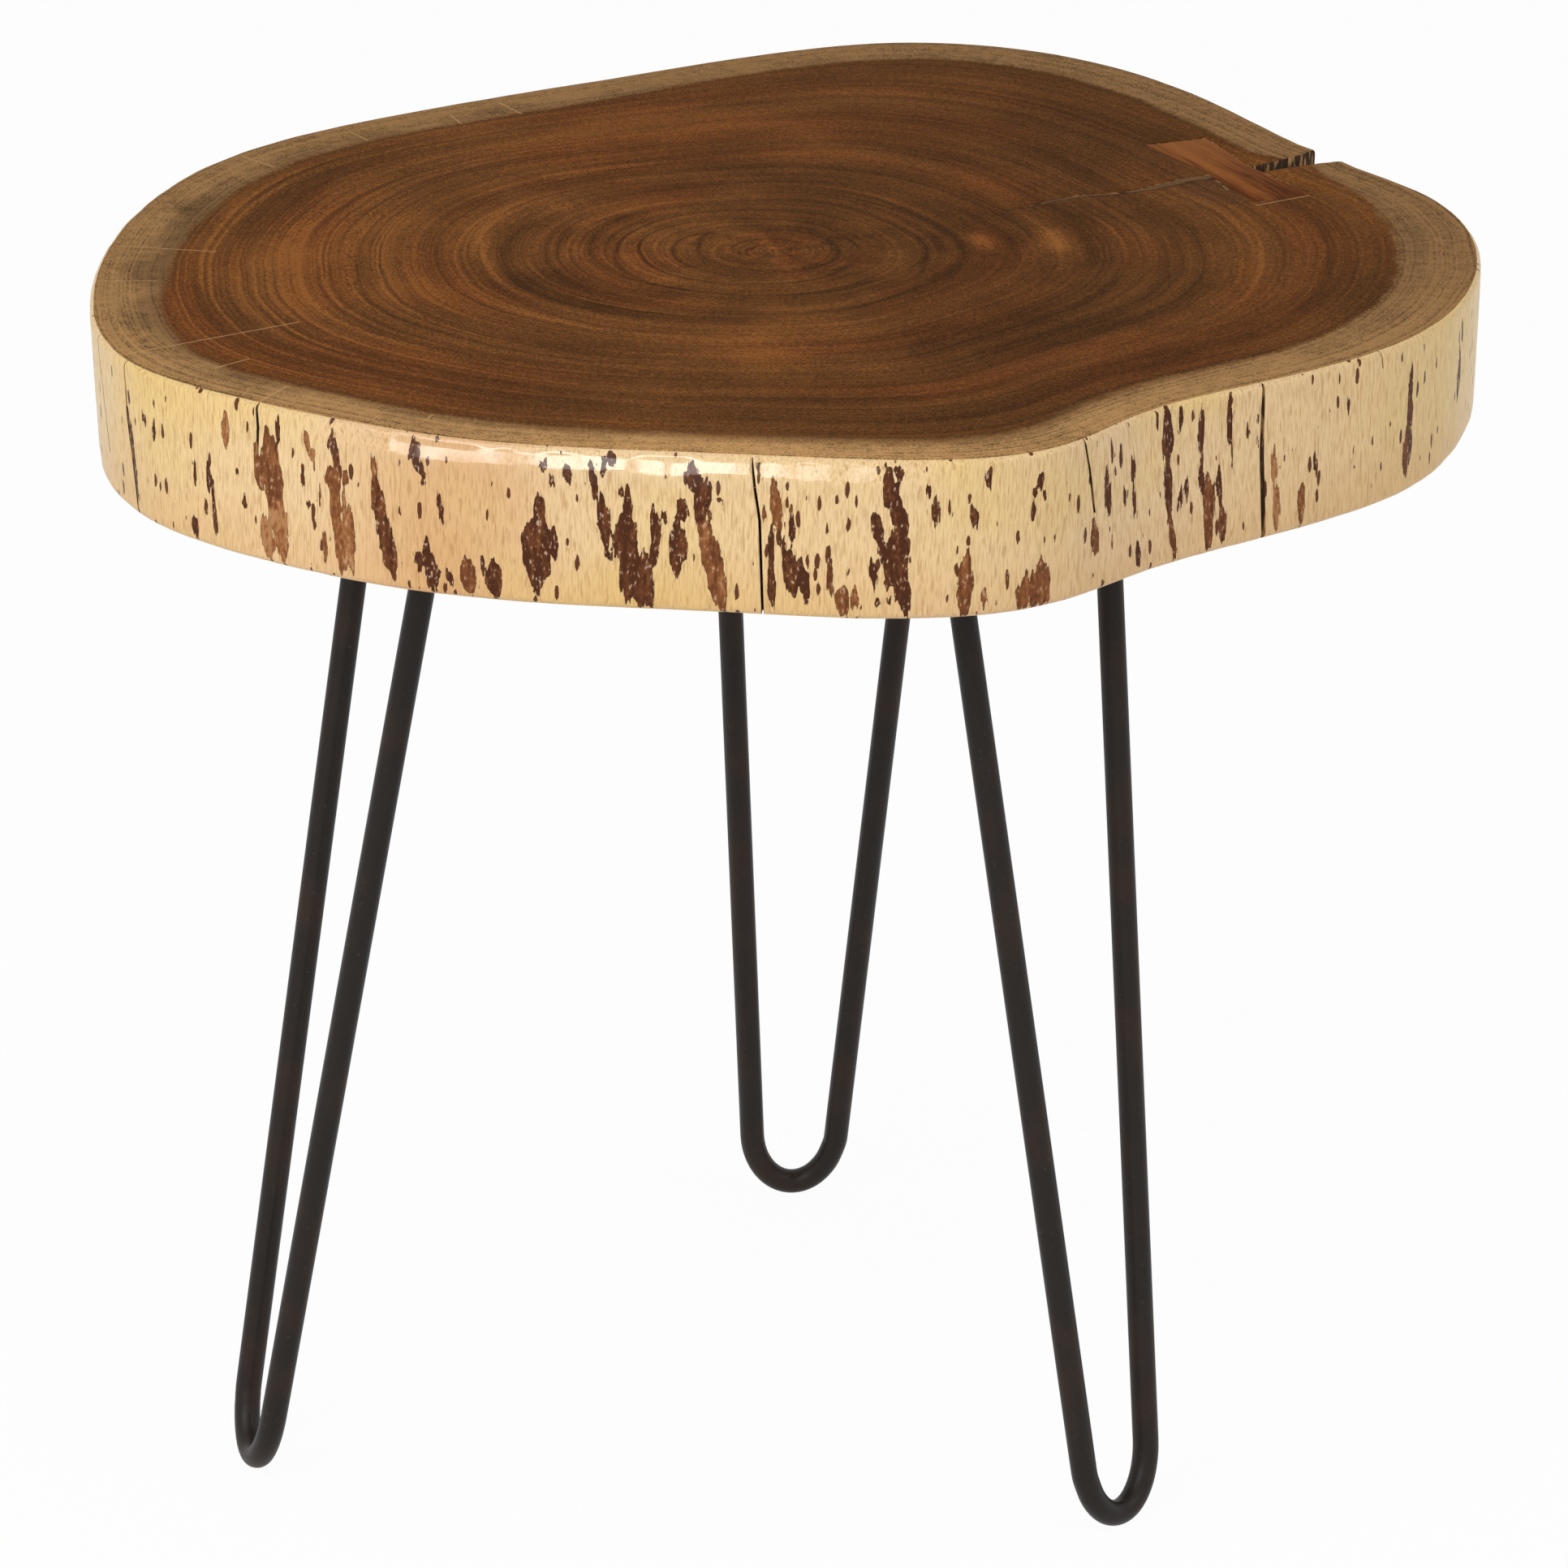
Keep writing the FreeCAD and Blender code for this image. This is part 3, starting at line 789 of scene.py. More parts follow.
def bark_face_finish(look, rim):
    """Peeled, varnished wood with flecks of bark, and a broken gloss along the worn shoulder."""
    finish = new_finish("bark_face")
    place = finish.place()
    heading = pith_heading(finish, place)
    grain = finish.grain(place, FACE_GRAIN)
    crust = finish.grain(place, BARK_CRUST, 3.0)
    inside = finish.attribute("fleck") + ragged_edge(finish, place)
    fleck = finish.band(inside, *FLECK_EDGE)
    colour = face_colour(finish, look, rim, place, heading, grain)
    colour = finish.blend(fleck, colour, bark_colour(finish, look, place, crust, inside))
    finish.bump(fleck * (0.5 + crust * 0.4) + grain * 0.15, BARK_DEPTH)
    lustre = finish.band(finish.grain(place, FACE_LUSTRE), 0.22, 0.54)
    shine = finish.attribute("gloss") * lustre * by_heading(finish, heading, SHINING_FACE)
    coat = (0.25 + shine * 0.75) * (1 - fleck * 0.6)
    finish.surface(Base_Color=colour, Roughness=0.42 + grain.swing(0.2), Coat_Weight=coat,
                   Coat_Roughness=0.12, Specular_IOR_Level=FACE_SHINE)
    return finish.owner


def check_wall_finish(look):
    """The inside of an open check: dark torn wood, partly painted shade deep in the cut, with pale torn
    streaks.
    """
    finish = new_finish("check_wall")
    streak = finish.grain(finish.place(), TORN_STREAKS, 3.0)
    colour = finish.ramp(streak, [(0.36, look.wall_dark_and_shade), (0.5, look.heart_dark), (0.6, look.sap_light)])
    finish.bump(streak, TORN_DEPTH)
    finish.surface(Base_Color=colour, Roughness=0.8, Specular_IOR_Level=BARE_SHINE)
    return finish.owner


def key_finish(look, middle):
    """Reddish wood, grained lengthwise, with a few dark streaks, darker towards the rim."""
    finish = new_finish("key_wood")
    place = finish.node("ShaderNodeMapping", {"vector_type": "TEXTURE"}, {
        "Vector": finish.place(), "Location": middle, "Rotation": (0.0, 0.0, KEY_HEADING)})
    along = finish.axes(place)[0]
    streak = finish.grain(place, KEY_STREAKS, 3.0)
    grain = finish.grain(place, KEY_GRAIN)
    tone = streak.swing(1.2) + grain.swing(0.8) + along * 4.0 + 0.36
    colour = finish.ramp(tone, [(0.1, look.key_dark), (0.45, look.key_plain), (0.85, look.key_light)])
    finish.bump(grain, KEY_GRAIN_DEPTH)
    finish.surface(Base_Color=colour, Roughness=0.6 + grain.swing(0.2), Specular_IOR_Level=TOP_SHINE)
    return finish.owner


def filler_finish(look):
    """Grey-brown filler, gritty, with painted shadow along its front edge, where the crack's gap lies in
    shade.
    """
    finish = new_finish("filler")
    place = finish.place()
    grit = finish.noise(place, FILLER_GRIT, 3.0)
    clump = finish.noise(place, FILLER_CLUMPS)
    colour = finish.blend(clump, look.filler_plain, look.filler_light)
    # Painted shadow: the dark line where the filler meets the wood at the front
    edge = finish.band(finish.attribute("front_edge") + clump.swing(0.7), 0.6, 0.9)
    colour = finish.blend(edge * 0.7, colour, look.wall_dark_and_shade)
    finish.bump(grit, GRIT_DEPTH)
    finish.surface(Base_Color=colour, Roughness=0.75 + grit.swing(0.3), Specular_IOR_Level=FILLER_SHINE)
    return finish.owner


def iron_finish(look, name, roughness, pit_depth):
    """Blackened iron: a brown cast, faint rust mottling and small pits."""
    finish = new_finish(name)
    place = finish.place()
    mottle = finish.noise(place, IRON_MOTTLE, 3.0)
    pit = finish.noise(place, IRON_PITS)
    colour = finish.blend(finish.band(mottle, 0.42, 0.7) * 0.6, look.iron_dark, look.iron_rust)
    colour = finish.blend(finish.band(pit, 0.66, 0.76) * 0.5, colour, look.iron_speck)
    finish.bump(pit * 0.6 + mottle * 0.4, pit_depth)
    finish.surface(Base_Color=colour, Roughness=roughness + mottle.swing(0.3), Specular_IOR_Level=IRON_SHINE)
    return finish.owner


def screw_finish(look):
    """Zinc plate, faintly cloudy."""
    finish = new_finish("screw_zinc")
    cloud = finish.noise(finish.place(), ZINC_CLOUDS)
    colour = finish.blend(cloud, look.zinc_dark, look.zinc_light)
    finish.surface(Base_Color=colour, Metallic=1.0, Roughness=0.32 + cloud.swing(0.3))
    return finish.owner


# The slab

class Rim:
    """The log's outline seen from the pith: how far away the bark face is at each heading."""

    def __init__(self, slab):
        points = [vertex.co for vertex in slab.data.vertices]
        self.tree = BVHTree.FromPolygons(points, [face.vertices for face in slab.data.polygons])
        low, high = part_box(slab.name)
        self.base = low.z
        self.top = high.z
        self.headings = np.arange(RIM_STEPS) * TURN / RIM_STEPS
        self.upper = self.distances(self.top - OUTLINE_INSET)
        self.lower = self.distances(self.base + OUTLINE_INSET)
        self.mean = float(self.upper.mean())
        middle = (self.upper + self.lower) / 2
        outline = np.column_stack([np.cos(self.headings) * middle, np.sin(self.headings) * middle])
        steps = np.linalg.norm(outline - np.roll(outline, 1, axis=0), axis=1)
        self.girth = np.cumsum(steps) - steps[0]

    def distances(self, height):
        """How far the face is from the pith at a height, with the open check bridged over."""
        found = np.array([self.distance(angle, height) for angle in self.headings])
        mouth = CHECK_START + heading_vector(CHECK_HEADING) * (CHECK_REACH * MOUTH_SHARE) - PITH
        half_gap = math.asin(MOUTH_HALF / mouth.length)
        off_mouth = shorter_way(self.headings - math.atan2(mouth.y, mouth.x), TURN)
        whole = np.abs(off_mouth) > half_gap
        return np.interp(self.headings, self.headings[whole], found[whole], period=TURN)

    def distance(self, angle, height):
        out = heading_vector(angle)
        start = Vector((PITH.x + out.x, PITH.y + out.y, height))
        hit = self.tree.ray_cast(start, Vector((-out.x, -out.y, 0.0)))[0]
        return math.hypot(hit.x - PITH.x, hit.y - PITH.y)

    def at_height(self, height):
        share = (self.top - height) / (self.top - self.base)
        return self.upper + (self.lower - self.upper) * share

    def share_at(self, off):
        """Which share of the way from the pith to the bark a place is, by its offset from the pith."""
        heading = math.atan2(off.y, off.x)
        edge = self.around(heading, self.upper)
        return float(ring_share(np.array([off.length]), heading, edge, self.mean)[0])

    def around(self, headings, values):
        return np.interp(headings, self.headings, values, period=TURN)


def ring_distance(share, headings, edge, mean):
    """How far a ring is from the pith: round by it, adrift halfway, and the outline's shape at the bark."""
    drift = RING_DRIFT * np.cos(headings - RING_DRIFT_HEADING) * 4 * share * (1 - share)
    shape = RING_LEAST_SHAPE + (1 - RING_LEAST_SHAPE) * share ** RING_SHAPE_POWER
    return share * (mean + (edge - mean) * shape) + drift


def ring_share(distance, headings, edge, mean):
    """Which share of the way out a place lies on, found by halving."""
    low = np.zeros_like(distance)
    high = np.full_like(distance, FARTHEST_SHARE)
    for _ in range(HALVINGS):
        middle = (low + high) / 2
        short = ring_distance(middle, headings, edge, mean) < distance
        low = np.where(short, middle, low)
        high = np.where(short, high, middle)
    return low


def lump(rim, heading, height, sizes):
    """How far the peeled face stands out or in: long swells, small hollows and a worn shoulder."""
    out = heading_vector(heading) * rim.mean
    swell = noise_at(out.x, out.y, height, SWELL_PACE)
    hollow = noise_at(out.x, out.y, height, HOLLOW_PACE)
    down = rim.top - height
    waver = sum(weight * noise_at(out.x, out.y, level, (pace, 1)) for pace, level, weight in WAVER_LAYERS)
    bulge = sizes.shoulder / 2 * (1 - down / (rim.top - rim.base))
    worn = shoulder_share(heading) * (shoulder_drop(down, waver, sizes) - bulge)
    return sizes.swell * swell + sizes.hollow * hollow - worn


def shoulder_share(heading):
    """1 along the front left, where the upper edge is worn down to a slope, and 0 elsewhere."""
    degrees = np.degrees(heading) % 360
    return smooth_step(degrees, *SHOULDER_IN) * (1 - smooth_step(degrees, *SHOULDER_OUT))


def shoulder_drop(down, waver, sizes):
    """How far in the worn slope lies this far below the top: an even slope down to a wavy line."""
    run = sizes.shoulder / SHOULDER_SLOPE
    lower = SHOULDER_START + run + SHOULDER_WAVER * waver
    return SHOULDER_SLOPE * min(max(lower - down, 0.0), run)


def smooth_step(value, low, high):
    share = np.clip((value - low) / (high - low), 0.0, 1.0)
    return share * share * (3 - 2 * share)


def slab_rows(rim, sizes):
    """Rows of distances from the pith, each with its height and its material, from top to underside."""
    ease = sizes.edge_round
    rows = [(ring_distance(share, rim.headings, rim.upper, rim.mean), rim.top, TOP) for share in TOP_SHARES]
    for step in range(EASE_STEPS):
        angle = step / EASE_STEPS * math.pi / 2
        height = rim.top - ease * (1 - math.cos(angle))
        material = TOP if step < EASE_STEPS / 2 else FACE
        rows.append((face_row(rim, height, sizes) - ease * (1 - math.sin(angle)), height, material))
    for height in face_heights(rim, ease):
        rows.append((face_row(rim, height, sizes), height, FACE))
    for step in range(1, EASE_STEPS + 1):
        angle = step / EASE_STEPS * math.pi / 2
        height = rim.base + ease * (1 - math.sin(angle))
        rows.append((face_row(rim, height, sizes) - ease * (1 - math.cos(angle)), height, FACE))
    for share in UNDERSIDE_SHARES:
        rows.append((ring_distance(share, rim.headings, rim.lower, rim.mean), rim.base, UNDERSIDE))
    return rows


def face_heights(rim, ease):
    """Heights of the rows down the bark face, closer together by the worn shoulder."""
    upper = np.linspace(rim.top - ease, rim.top - ease - UPPER_REACH, UPPER_ROWS, endpoint=False)
    lower = np.linspace(rim.top - ease - UPPER_REACH, rim.base + ease, BARK_ROWS - UPPER_ROWS + 1)
    return [float(height) for height in (*upper, *lower)]


def face_row(rim, height, sizes):
    lumps = [lump(rim, heading, height, sizes) for heading in rim.headings]
    return rim.at_height(height) + np.array(lumps)


def place_row(verts, distances, height):
    """Moves a ring of points out to their distances from the pith, each along its own heading."""
    for vert in verts:
        angle = heading_from_pith(vert.co)
        distance = distances[round(angle / TURN * RIM_STEPS) % RIM_STEPS]
        vert.co = (PITH.x + math.cos(angle) * distance, PITH.y + math.sin(angle) * distance, height)


def slab_mesh(rim, sizes):
    """The whole log slice, drawn out row by row from the pith over the rim to the pith again."""
    bm = bmesh.new()
    rows = slab_rows(rim, sizes)
    at_pith = Matrix.Translation((PITH.x, PITH.y, rim.top))
    ring = bmesh.ops.create_circle(bm, segments=RIM_STEPS, radius=1.0, matrix=at_pith)["verts"]
    place_row(ring, rows[0][0], rows[0][1])
    edges = bm.edges[:]
    close_at_pith(bm, edges, rim.top, TOP)
    for distances, height, material in rows[1:]:
        verts, edges = drawn_row(bm, edges, material)
        place_row(verts, distances, height)
    close_at_pith(bm, edges, rim.base, UNDERSIDE)
    bmesh.ops.recalc_face_normals(bm, faces=bm.faces[:])
    return mesh_from(bm, "log_slab_dressed")


def of_kind(geometry, kind):
    return [part for part in geometry if isinstance(part, kind)]


def drawn_row(bm, edges, material):
    """Draws a ring of edges out into a row of faces, and gives the new ring's points and edges."""
    drawn = bmesh.ops.extrude_edge_only(bm, edges=edges)["geom"]
    new_edges = of_kind(drawn, bmesh.types.BMEdge)
    for edge in new_edges:
        for face in edge.link_faces:
            face.material_index = material
    return of_kind(drawn, bmesh.types.BMVert), new_edges


def close_at_pith(bm, edges, height, material):
    verts, _ = drawn_row(bm, edges, material)
    bmesh.ops.pointmerge(bm, verts=verts, merge_co=(PITH.x, PITH.y, height))


def mesh_from(bm, name):
    mesh = bpy.data.meshes.new(name)
    bm.to_mesh(mesh)
    bm.free()
    return mesh


def new_piece(name, mesh, materials):
    piece = bpy.data.objects.new(name, mesh)
    bpy.context.scene.collection.objects.link(piece)
    for material in materials:
        mesh.materials.append(material)
    return piece


def node_copy(node):
    """A merged copy of a solid's mesh with flat faces made whole."""
    bm = bmesh.new()
    bm.from_mesh(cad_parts[node].data)
    bmesh.ops.remove_doubles(bm, verts=bm.verts[:], dist=SAME_POINT)
    bmesh.ops.dissolve_limit(bm, angle_limit=SAME_FACE, verts=bm.verts[:], edges=bm.edges[:])
    return bm


def prism(corners, low, high):
    """An upright solid over a ring of corners."""
    bm = bmesh.new()
    face = bm.faces.new([bm.verts.new((corner.x, corner.y, low)) for corner in corners])
    drawn = bmesh.ops.extrude_face_region(bm, geom=[face])["geom"]
    bmesh.ops.translate(bm, verts=of_kind(drawn, bmesh.types.BMVert), vec=(0.0, 0.0, high - low))
    bmesh.ops.recalc_face_normals(bm, faces=bm.faces[:])
    return bm


def rise(edge):
    """How much higher one end of an edge is than the other."""
    first, last = edge.verts
    return abs(first.co.z - last.co.z)


def open_check_cutter(rim):
    """A wedge through the rim, its walls torn along the grain."""
    along = heading_vector(CHECK_HEADING)
    across = Vector((-along.y, along.x))
    outline = []
    for side in (-1, 1):
        for share, half in CHECK_FLARE[::-side]:
            outline.append(CHECK_START + along * (CHECK_REACH * share) + across * (side * half))
    bm = prism(outline, rim.base - CUT_PAST, rim.top + CUT_PAST)
    level = [edge for edge in bm.edges if rise(edge) < MM]
    bmesh.ops.subdivide_edges(bm, edges=level, cuts=TEAR_CUTS, use_grid_fill=True)
    upright = [edge for edge in bm.edges if rise(edge) > MM]
    bmesh.ops.subdivide_edges(bm, edges=upright, cuts=TEAR_CUTS, use_grid_fill=True)
    for vert in bm.verts:
        vert.co += Vector((across.x, across.y, 0.0)) * (TEAR_DEPTH * noise_at(*vert.co, TEAR_PACE))
    bmesh.ops.triangulate(bm, faces=bm.faces[:])
    return mesh_from(bm, "open_check_cutter")


def hairline_cutter(rim):
    """Thin upright wedges along the hairline checks in the bark face."""
    bm = bmesh.new()
    for half_width, points in HAIRLINES:
        places = run_out([seen_on(rim, x, y) for x, y in points], rim)
        corners = hairline_corners(places[0], half_width * MM, HAIRLINE_END_DEPTH)
        section = bm.faces.new([bm.verts.new(corner) for corner in corners])
        for place in places[1:]:
            drawn = bmesh.ops.extrude_face_region(bm, geom=[section])["geom"]
            section = of_kind(drawn, bmesh.types.BMFace)[0]
            corners = hairline_corners(place, half_width * MM, HAIRLINE_DEPTH)
            for vert, corner in zip(section.verts, matched(section, corners)):
                vert.co = corner
    bmesh.ops.recalc_face_normals(bm, faces=bm.faces[:])
    return mesh_from(bm, "hairline_cutter")


def run_out(places, rim):
    """Carries a check on past the top edge, and past the lower edge where it reaches that far."""
    first, last = places[0].copy(), places[-1].copy()
    first.z = rim.top + HAIRLINE_PAST
    if last.z < rim.base + HAIRLINE_NEAR_EDGE:
        last.z = rim.base - HAIRLINE_PAST
    return [first, *places[1:-1], last]


def hairline_corners(place, half_width, depth):
    """The cross-section of a check: a narrow kite, a little outside the face to well inside it."""
    out = Vector((place.x - PITH.x, place.y - PITH.y, 0.0)).normalized()
    beside = Vector((-out.y, out.x, 0.0)) * half_width
    outside = out * HAIRLINE_OUTSIDE
    return [place + outside + beside, place + outside - beside,
            place - out * depth - beside * HAIRLINE_TAPER, place - out * depth + beside * HAIRLINE_TAPER]


def matched(face, corners):
    """The corners in the order of a face's points, each by nearness once both middles are together."""
    shift = sum(corners, Vector()) / len(corners) - face.calc_center_median()
    return [min(corners, key=lambda corner: (corner - shift - vert.co).length) for vert in face.verts]


def key_pocket_cutter(rim, clearance):
    """The key's own shape, a little larger and standing out of the top."""
    bm = node_copy("butterfly_key")
    middle = sum((v.co for v in bm.verts), Vector()) / len(bm.verts)
    for vert in bm.verts:
        out = Vector((vert.co.x - middle.x, vert.co.y - middle.y, 0.0)).normalized()
        vert.co += out * clearance
        if vert.co.z > middle.z:
            vert.co.z = rim.top + CUT_PAST
    return mesh_from(bm, "key_pocket_cutter")


def ragged_filler(top):
    """The filled check's solid with its sides made crooked, up to a height."""
    bm = node_copy("crack_filler")
    low = min(v.co.z for v in bm.verts)
    level = [edge for edge in bm.edges if rise(edge) < FILLER_LEVEL and edge.calc_length() > FILLER_LONG_EDGE]
    bmesh.ops.subdivide_edges(bm, edges=level, cuts=FILLER_CUTS)
    middle = (low + max(v.co.z for v in bm.verts)) / 2
    for vert in bm.verts:
        spot = Vector((vert.co.x * FILLER_PACE, vert.co.y * FILLER_PACE, 0.0))
        vert.co += Vector((noise.noise(spot), noise.noise(spot + FILLER_OTHER_WAY), 0.0)) * FILLER_CROOK
        vert.co.z = top if vert.co.z > middle else low
    bmesh.ops.triangulate(bm, faces=bm.faces[:])
    return bm


def carve(piece, cutters):
    """Cuts each cutter out of a piece and gives the cuts' walls their own material."""
    tools = []
    for mesh in cutters:
        tool = new_piece(mesh.name, mesh, piece.data.materials)
        mesh.polygons.foreach_set("material_index", [WALL] * len(mesh.polygons))
        cut = piece.modifiers.new(mesh.name, "BOOLEAN")
        cut.operation = "DIFFERENCE"
        cut.solver = "EXACT"
        cut.object = tool
        tools.append(tool)
    depsgraph = bpy.context.evaluated_depsgraph_get()
    carved = bpy.data.meshes.new_from_object(piece.evaluated_get(depsgraph))
    piece.modifiers.clear()
    piece.data = carved
    for tool in tools:
        bpy.data.objects.remove(tool)


def vertex_places(mesh):
    places = np.empty(len(mesh.vertices) * 3)
    mesh.vertices.foreach_get("co", places)
    return places.reshape(-1, 3)


def keep_values(mesh, name, values):
    layer = mesh.attributes.new(name, "FLOAT", "POINT")
    layer.data.foreach_set("value", np.asarray(values, dtype=np.float32))


def mark_growth(mesh, rim):
    """Keeps where each point lies between pith and bark, and how deep it is in the sapwood."""
    places = vertex_places(mesh)
    off = places[:, :2] - np.array(PITH)
    distance = np.hypot(off[:, 0], off[:, 1])
    heading = np.arctan2(off[:, 1], off[:, 0]) % TURN
    edge = rim.around(heading, rim.upper)
    degrees, widths = zip(*SAPWOOD_WIDTHS)
    width = np.interp(np.degrees(heading), degrees, widths, period=360) * MM
    keep_values(mesh, "growth", ring_share(distance, heading, edge, rim.mean))
    keep_values(mesh, "sapwood", (edge - distance) / width)
    depth, worn = fleck_depth(rim, heading, places[:, 2])
    keep_values(mesh, "fleck", depth)
    keep_values(mesh, "worn", worn)
    shoulder = smooth_step(places[:, 2], rim.top - GLOSS_END, rim.top - GLOSS_FULL)
    keep_values(mesh, "gloss", shoulder_share(heading) * shoulder)


def fleck_depth(rim, headings, heights):
    """How far each point is inside the nearest fleck, in millimetres, below 0 outside, and how worn it is."""
    girth = rim.around(headings, rim.girth)
    whole = rim.girth[-1]
    depth = np.full(len(headings), FLECK_FAR)
    worn = np.zeros(len(headings))
    for (upper_girth, upper), (lower_girth, lower), width, pale in seen_flecks(rim) + unseen_flecks(rim):
        run = np.array([shorter_way(lower_girth - upper_girth, whole), lower - upper])
        beside = shorter_way(girth - upper_girth, whole)
        below = heights - upper
        length = np.hypot(*run)
        along = (beside * run[0] + below * run[1]) / length
        across = np.abs(beside * run[1] - below * run[0]) / length
        share = np.clip(along / length, 0.0, 1.0)
        half = width / 2 * np.sin(np.pi * (share * (1 - 2 * FLECK_END) + FLECK_END)) ** FLECK_NARROWING
        beyond = np.maximum(np.maximum(-along, along - length), 0.0)
        inside = (half - np.hypot(across, beyond * END_TAPER)) / MM
        worn = np.where(inside > depth, pale, worn)
        depth = np.maximum(depth, inside)
    return depth, worn


def shorter_way(distance, whole):
    """A distance round a loop, taken the shorter way, forwards or back."""
    return (distance + whole / 2) % whole - whole / 2


def seen_flecks(rim):
    """The flecks that the photograph shows, as places along the girth and heights."""
    flecks = []
    for x_upper, y_upper, x_lower, y_lower, width in FLECKS:
        ends = []
        for x, y in ((x_upper, y_upper), (x_lower, y_lower)):
            place = seen_on(rim, x, y)
            heading = heading_from_pith(place) % TURN
            ends.append((float(rim.around(heading, rim.girth)), place.z))
        pale = worn_share((x_upper + x_lower) / 2, (y_upper + y_lower) / 2)
        flecks.append((*ends, width * FLECK_PIXEL_MM * MM, pale))
    return flecks


def worn_share(x, y):
    """How pale the flecks by a pixel of the photograph are worn, from 0 to 1."""
    return max(pale * smooth_step(reach - math.dist((x, y), (x_worn, y_worn)), 0, reach / 2)
               for x_worn, y_worn, reach, pale in WORN_PLACES)


def unseen_flecks(rim):
    """Flecks of the same kind round the back, by a fixed seed."""
    chance = random.Random(FLECK_SEED)
    low, high = (float(rim.around(math.radians(h), rim.girth)) for h in UNSEEN_HEADINGS)
    flecks = []
    for _ in range(UNSEEN_FLECKS):
        length = chance.choice(UNSEEN_LENGTHS) * chance.uniform(*UNSEEN_VARIETY) * MM
        width = (UNSEEN_LEAST_WIDTH + length / MM * chance.uniform(*UNSEEN_WIDENING)) * MM
        start = chance.uniform(low, high)
        upper = rim.top - UNSEEN_LONG_DROP
        if length < UNSEEN_LONG:
            upper = chance.uniform(rim.base + length, rim.top - UNSEEN_DROP)
        lower = (start + chance.uniform(*UNSEEN_LEAN) * MM, upper - length)
        flecks.append(((start, upper), lower, width, chance.uniform(0.0, UNSEEN_PALEST)))
    return flecks


def soften(mesh, degrees):
    """Smooth shading, broken at edges sharper than an angle."""
    mesh.polygons.foreach_set("use_smooth", [True] * len(mesh.polygons))
    mesh.set_sharp_from_angle(angle=math.radians(degrees))


def seat(piece, node):
    """The piece stands for a solid, which it hides, and rides with the table."""
    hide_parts(node)
    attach(piece, "root")


# Settings

def colour_setting(name, red, green, blue):
    return bpy.props.FloatVectorProperty(
        name=name, description=f"Colour of the {name.lower()}", subtype="COLOR",
        default=screen(red, green, blue), min=0.0, max=1.0)


def amount_setting(name, description, default, unit):
    return bpy.props.FloatProperty(name=name, description=description, default=default, unit=unit, min=0.0)


def length_setting(name, description, default):
    return amount_setting(name, description, default, "LENGTH")


class LogTableSizes(bpy.types.PropertyGroup):
    """Sizes of the worked details."""
    edge_round: length_setting("Edge rounding", "How far the slab's upper and lower rims are eased", 2.5 * MM)
    swell: length_setting("Swell", "Height of the long swells in the bark face", 0.5 * MM)
    hollow: length_setting("Hollow", "Height of the small hollows in the bark face", 0.35 * MM)
    shoulder: length_setting("Shoulder", "How deep the worn shoulder at the front left is", 2.4 * MM)
    key_gap: length_setting("Key gap", "Gap round the butterfly key", 0.15 * MM)
    key_edge: length_setting("Key edge", "How far the key's edges are eased", 0.35 * MM)
    filler_sink: length_setting("Filler sink", "How far the filler lies below the top", 0.2 * MM)


class LogTableLook(bpy.types.PropertyGroup):
    """Colours of the wood and the metal."""
    heart_dark: colour_setting("Dark rings", 62, 39, 18)
    heart_plain: colour_setting("Heartwood", 102, 63, 31)
    heart_light: colour_setting("Light rings", 146, 93, 46)
    heart_red: colour_setting("Red heartwood", 176, 84, 52)
    sap_plain: colour_setting("Sapwood", 142, 106, 68)
    sap_light: colour_setting("Light sapwood", 164, 124, 80)
    sap_front: colour_setting("Front sapwood", 202, 156, 101)
    sap_grey: colour_setting("Grey sapwood", 122, 91, 59)
    sap_shade: colour_setting("Sapwood grain", 50, 34, 20)
    scratch: colour_setting("Scratches", 196, 156, 110)
    face_cream: colour_setting("Cream face", 224, 193, 127)
    face_pink: colour_setting("Pink face", 227, 196, 156)
    face_tan: colour_setting("Tanned face", 206, 158, 106)
    face_grain: colour_setting("Face grain", 178, 134, 84)
    face_dash: colour_setting("Face dashes", 92, 50, 24)
    bark_dark: colour_setting("Dark bark", 74, 39, 21)
    bark_red: colour_setting("Red-brown bark", 112, 66, 36)
    bark_ochre: colour_setting("Ochre bark", 140, 88, 50)
    bark_tan: colour_setting("Tan bark", 166, 118, 76)
    # Painted highlight: the colour of the varnish's glints on the bark flecks
    bark_glint_paint: colour_setting("Bark specks", 196, 170, 146)
    bark_edge: colour_setting("Bark edges", 56, 29, 18)
    # Near-black: dark torn wood, partly painted shade in the checks and at the filler's edge
    wall_dark_and_shade: colour_setting("Check walls", 34, 22, 15)
    key_dark: colour_setting("Key streaks", 84, 46, 24)
    key_plain: colour_setting("Key", 134, 80, 40)
    key_light: colour_setting("Light key", 152, 94, 50)
    filler_plain: colour_setting("Filler", 98, 71, 46)
    filler_light: colour_setting("Light filler", 118, 87, 58)
    iron_dark: colour_setting("Iron", 34, 29, 26)
    iron_rust: colour_setting("Rust cast", 52, 36, 28)
    iron_speck: colour_setting("Iron specks", 74, 60, 52)
    zinc_dark: colour_setting("Dull zinc", 150, 152, 154)
    zinc_light: colour_setting("Bright zinc", 196, 198, 200)


class LogTableStage(bpy.types.PropertyGroup):
    """Light and floor."""
    surround: amount_setting("Surround", "Strength of the light from all sides", 0.55, "NONE")
    key_power: amount_setting("Key light", "Power of the large soft light, front left", 22.0, "POWER")
    fill_power: amount_setting("Fill light", "Power of the soft light from the right", 10.0, "POWER")
    strip_power: amount_setting("Strip light", "Power of the strip over the camera", 20.0, "POWER")
    floor_tone: colour_setting("Floor", 242, 242, 242)


# Operators

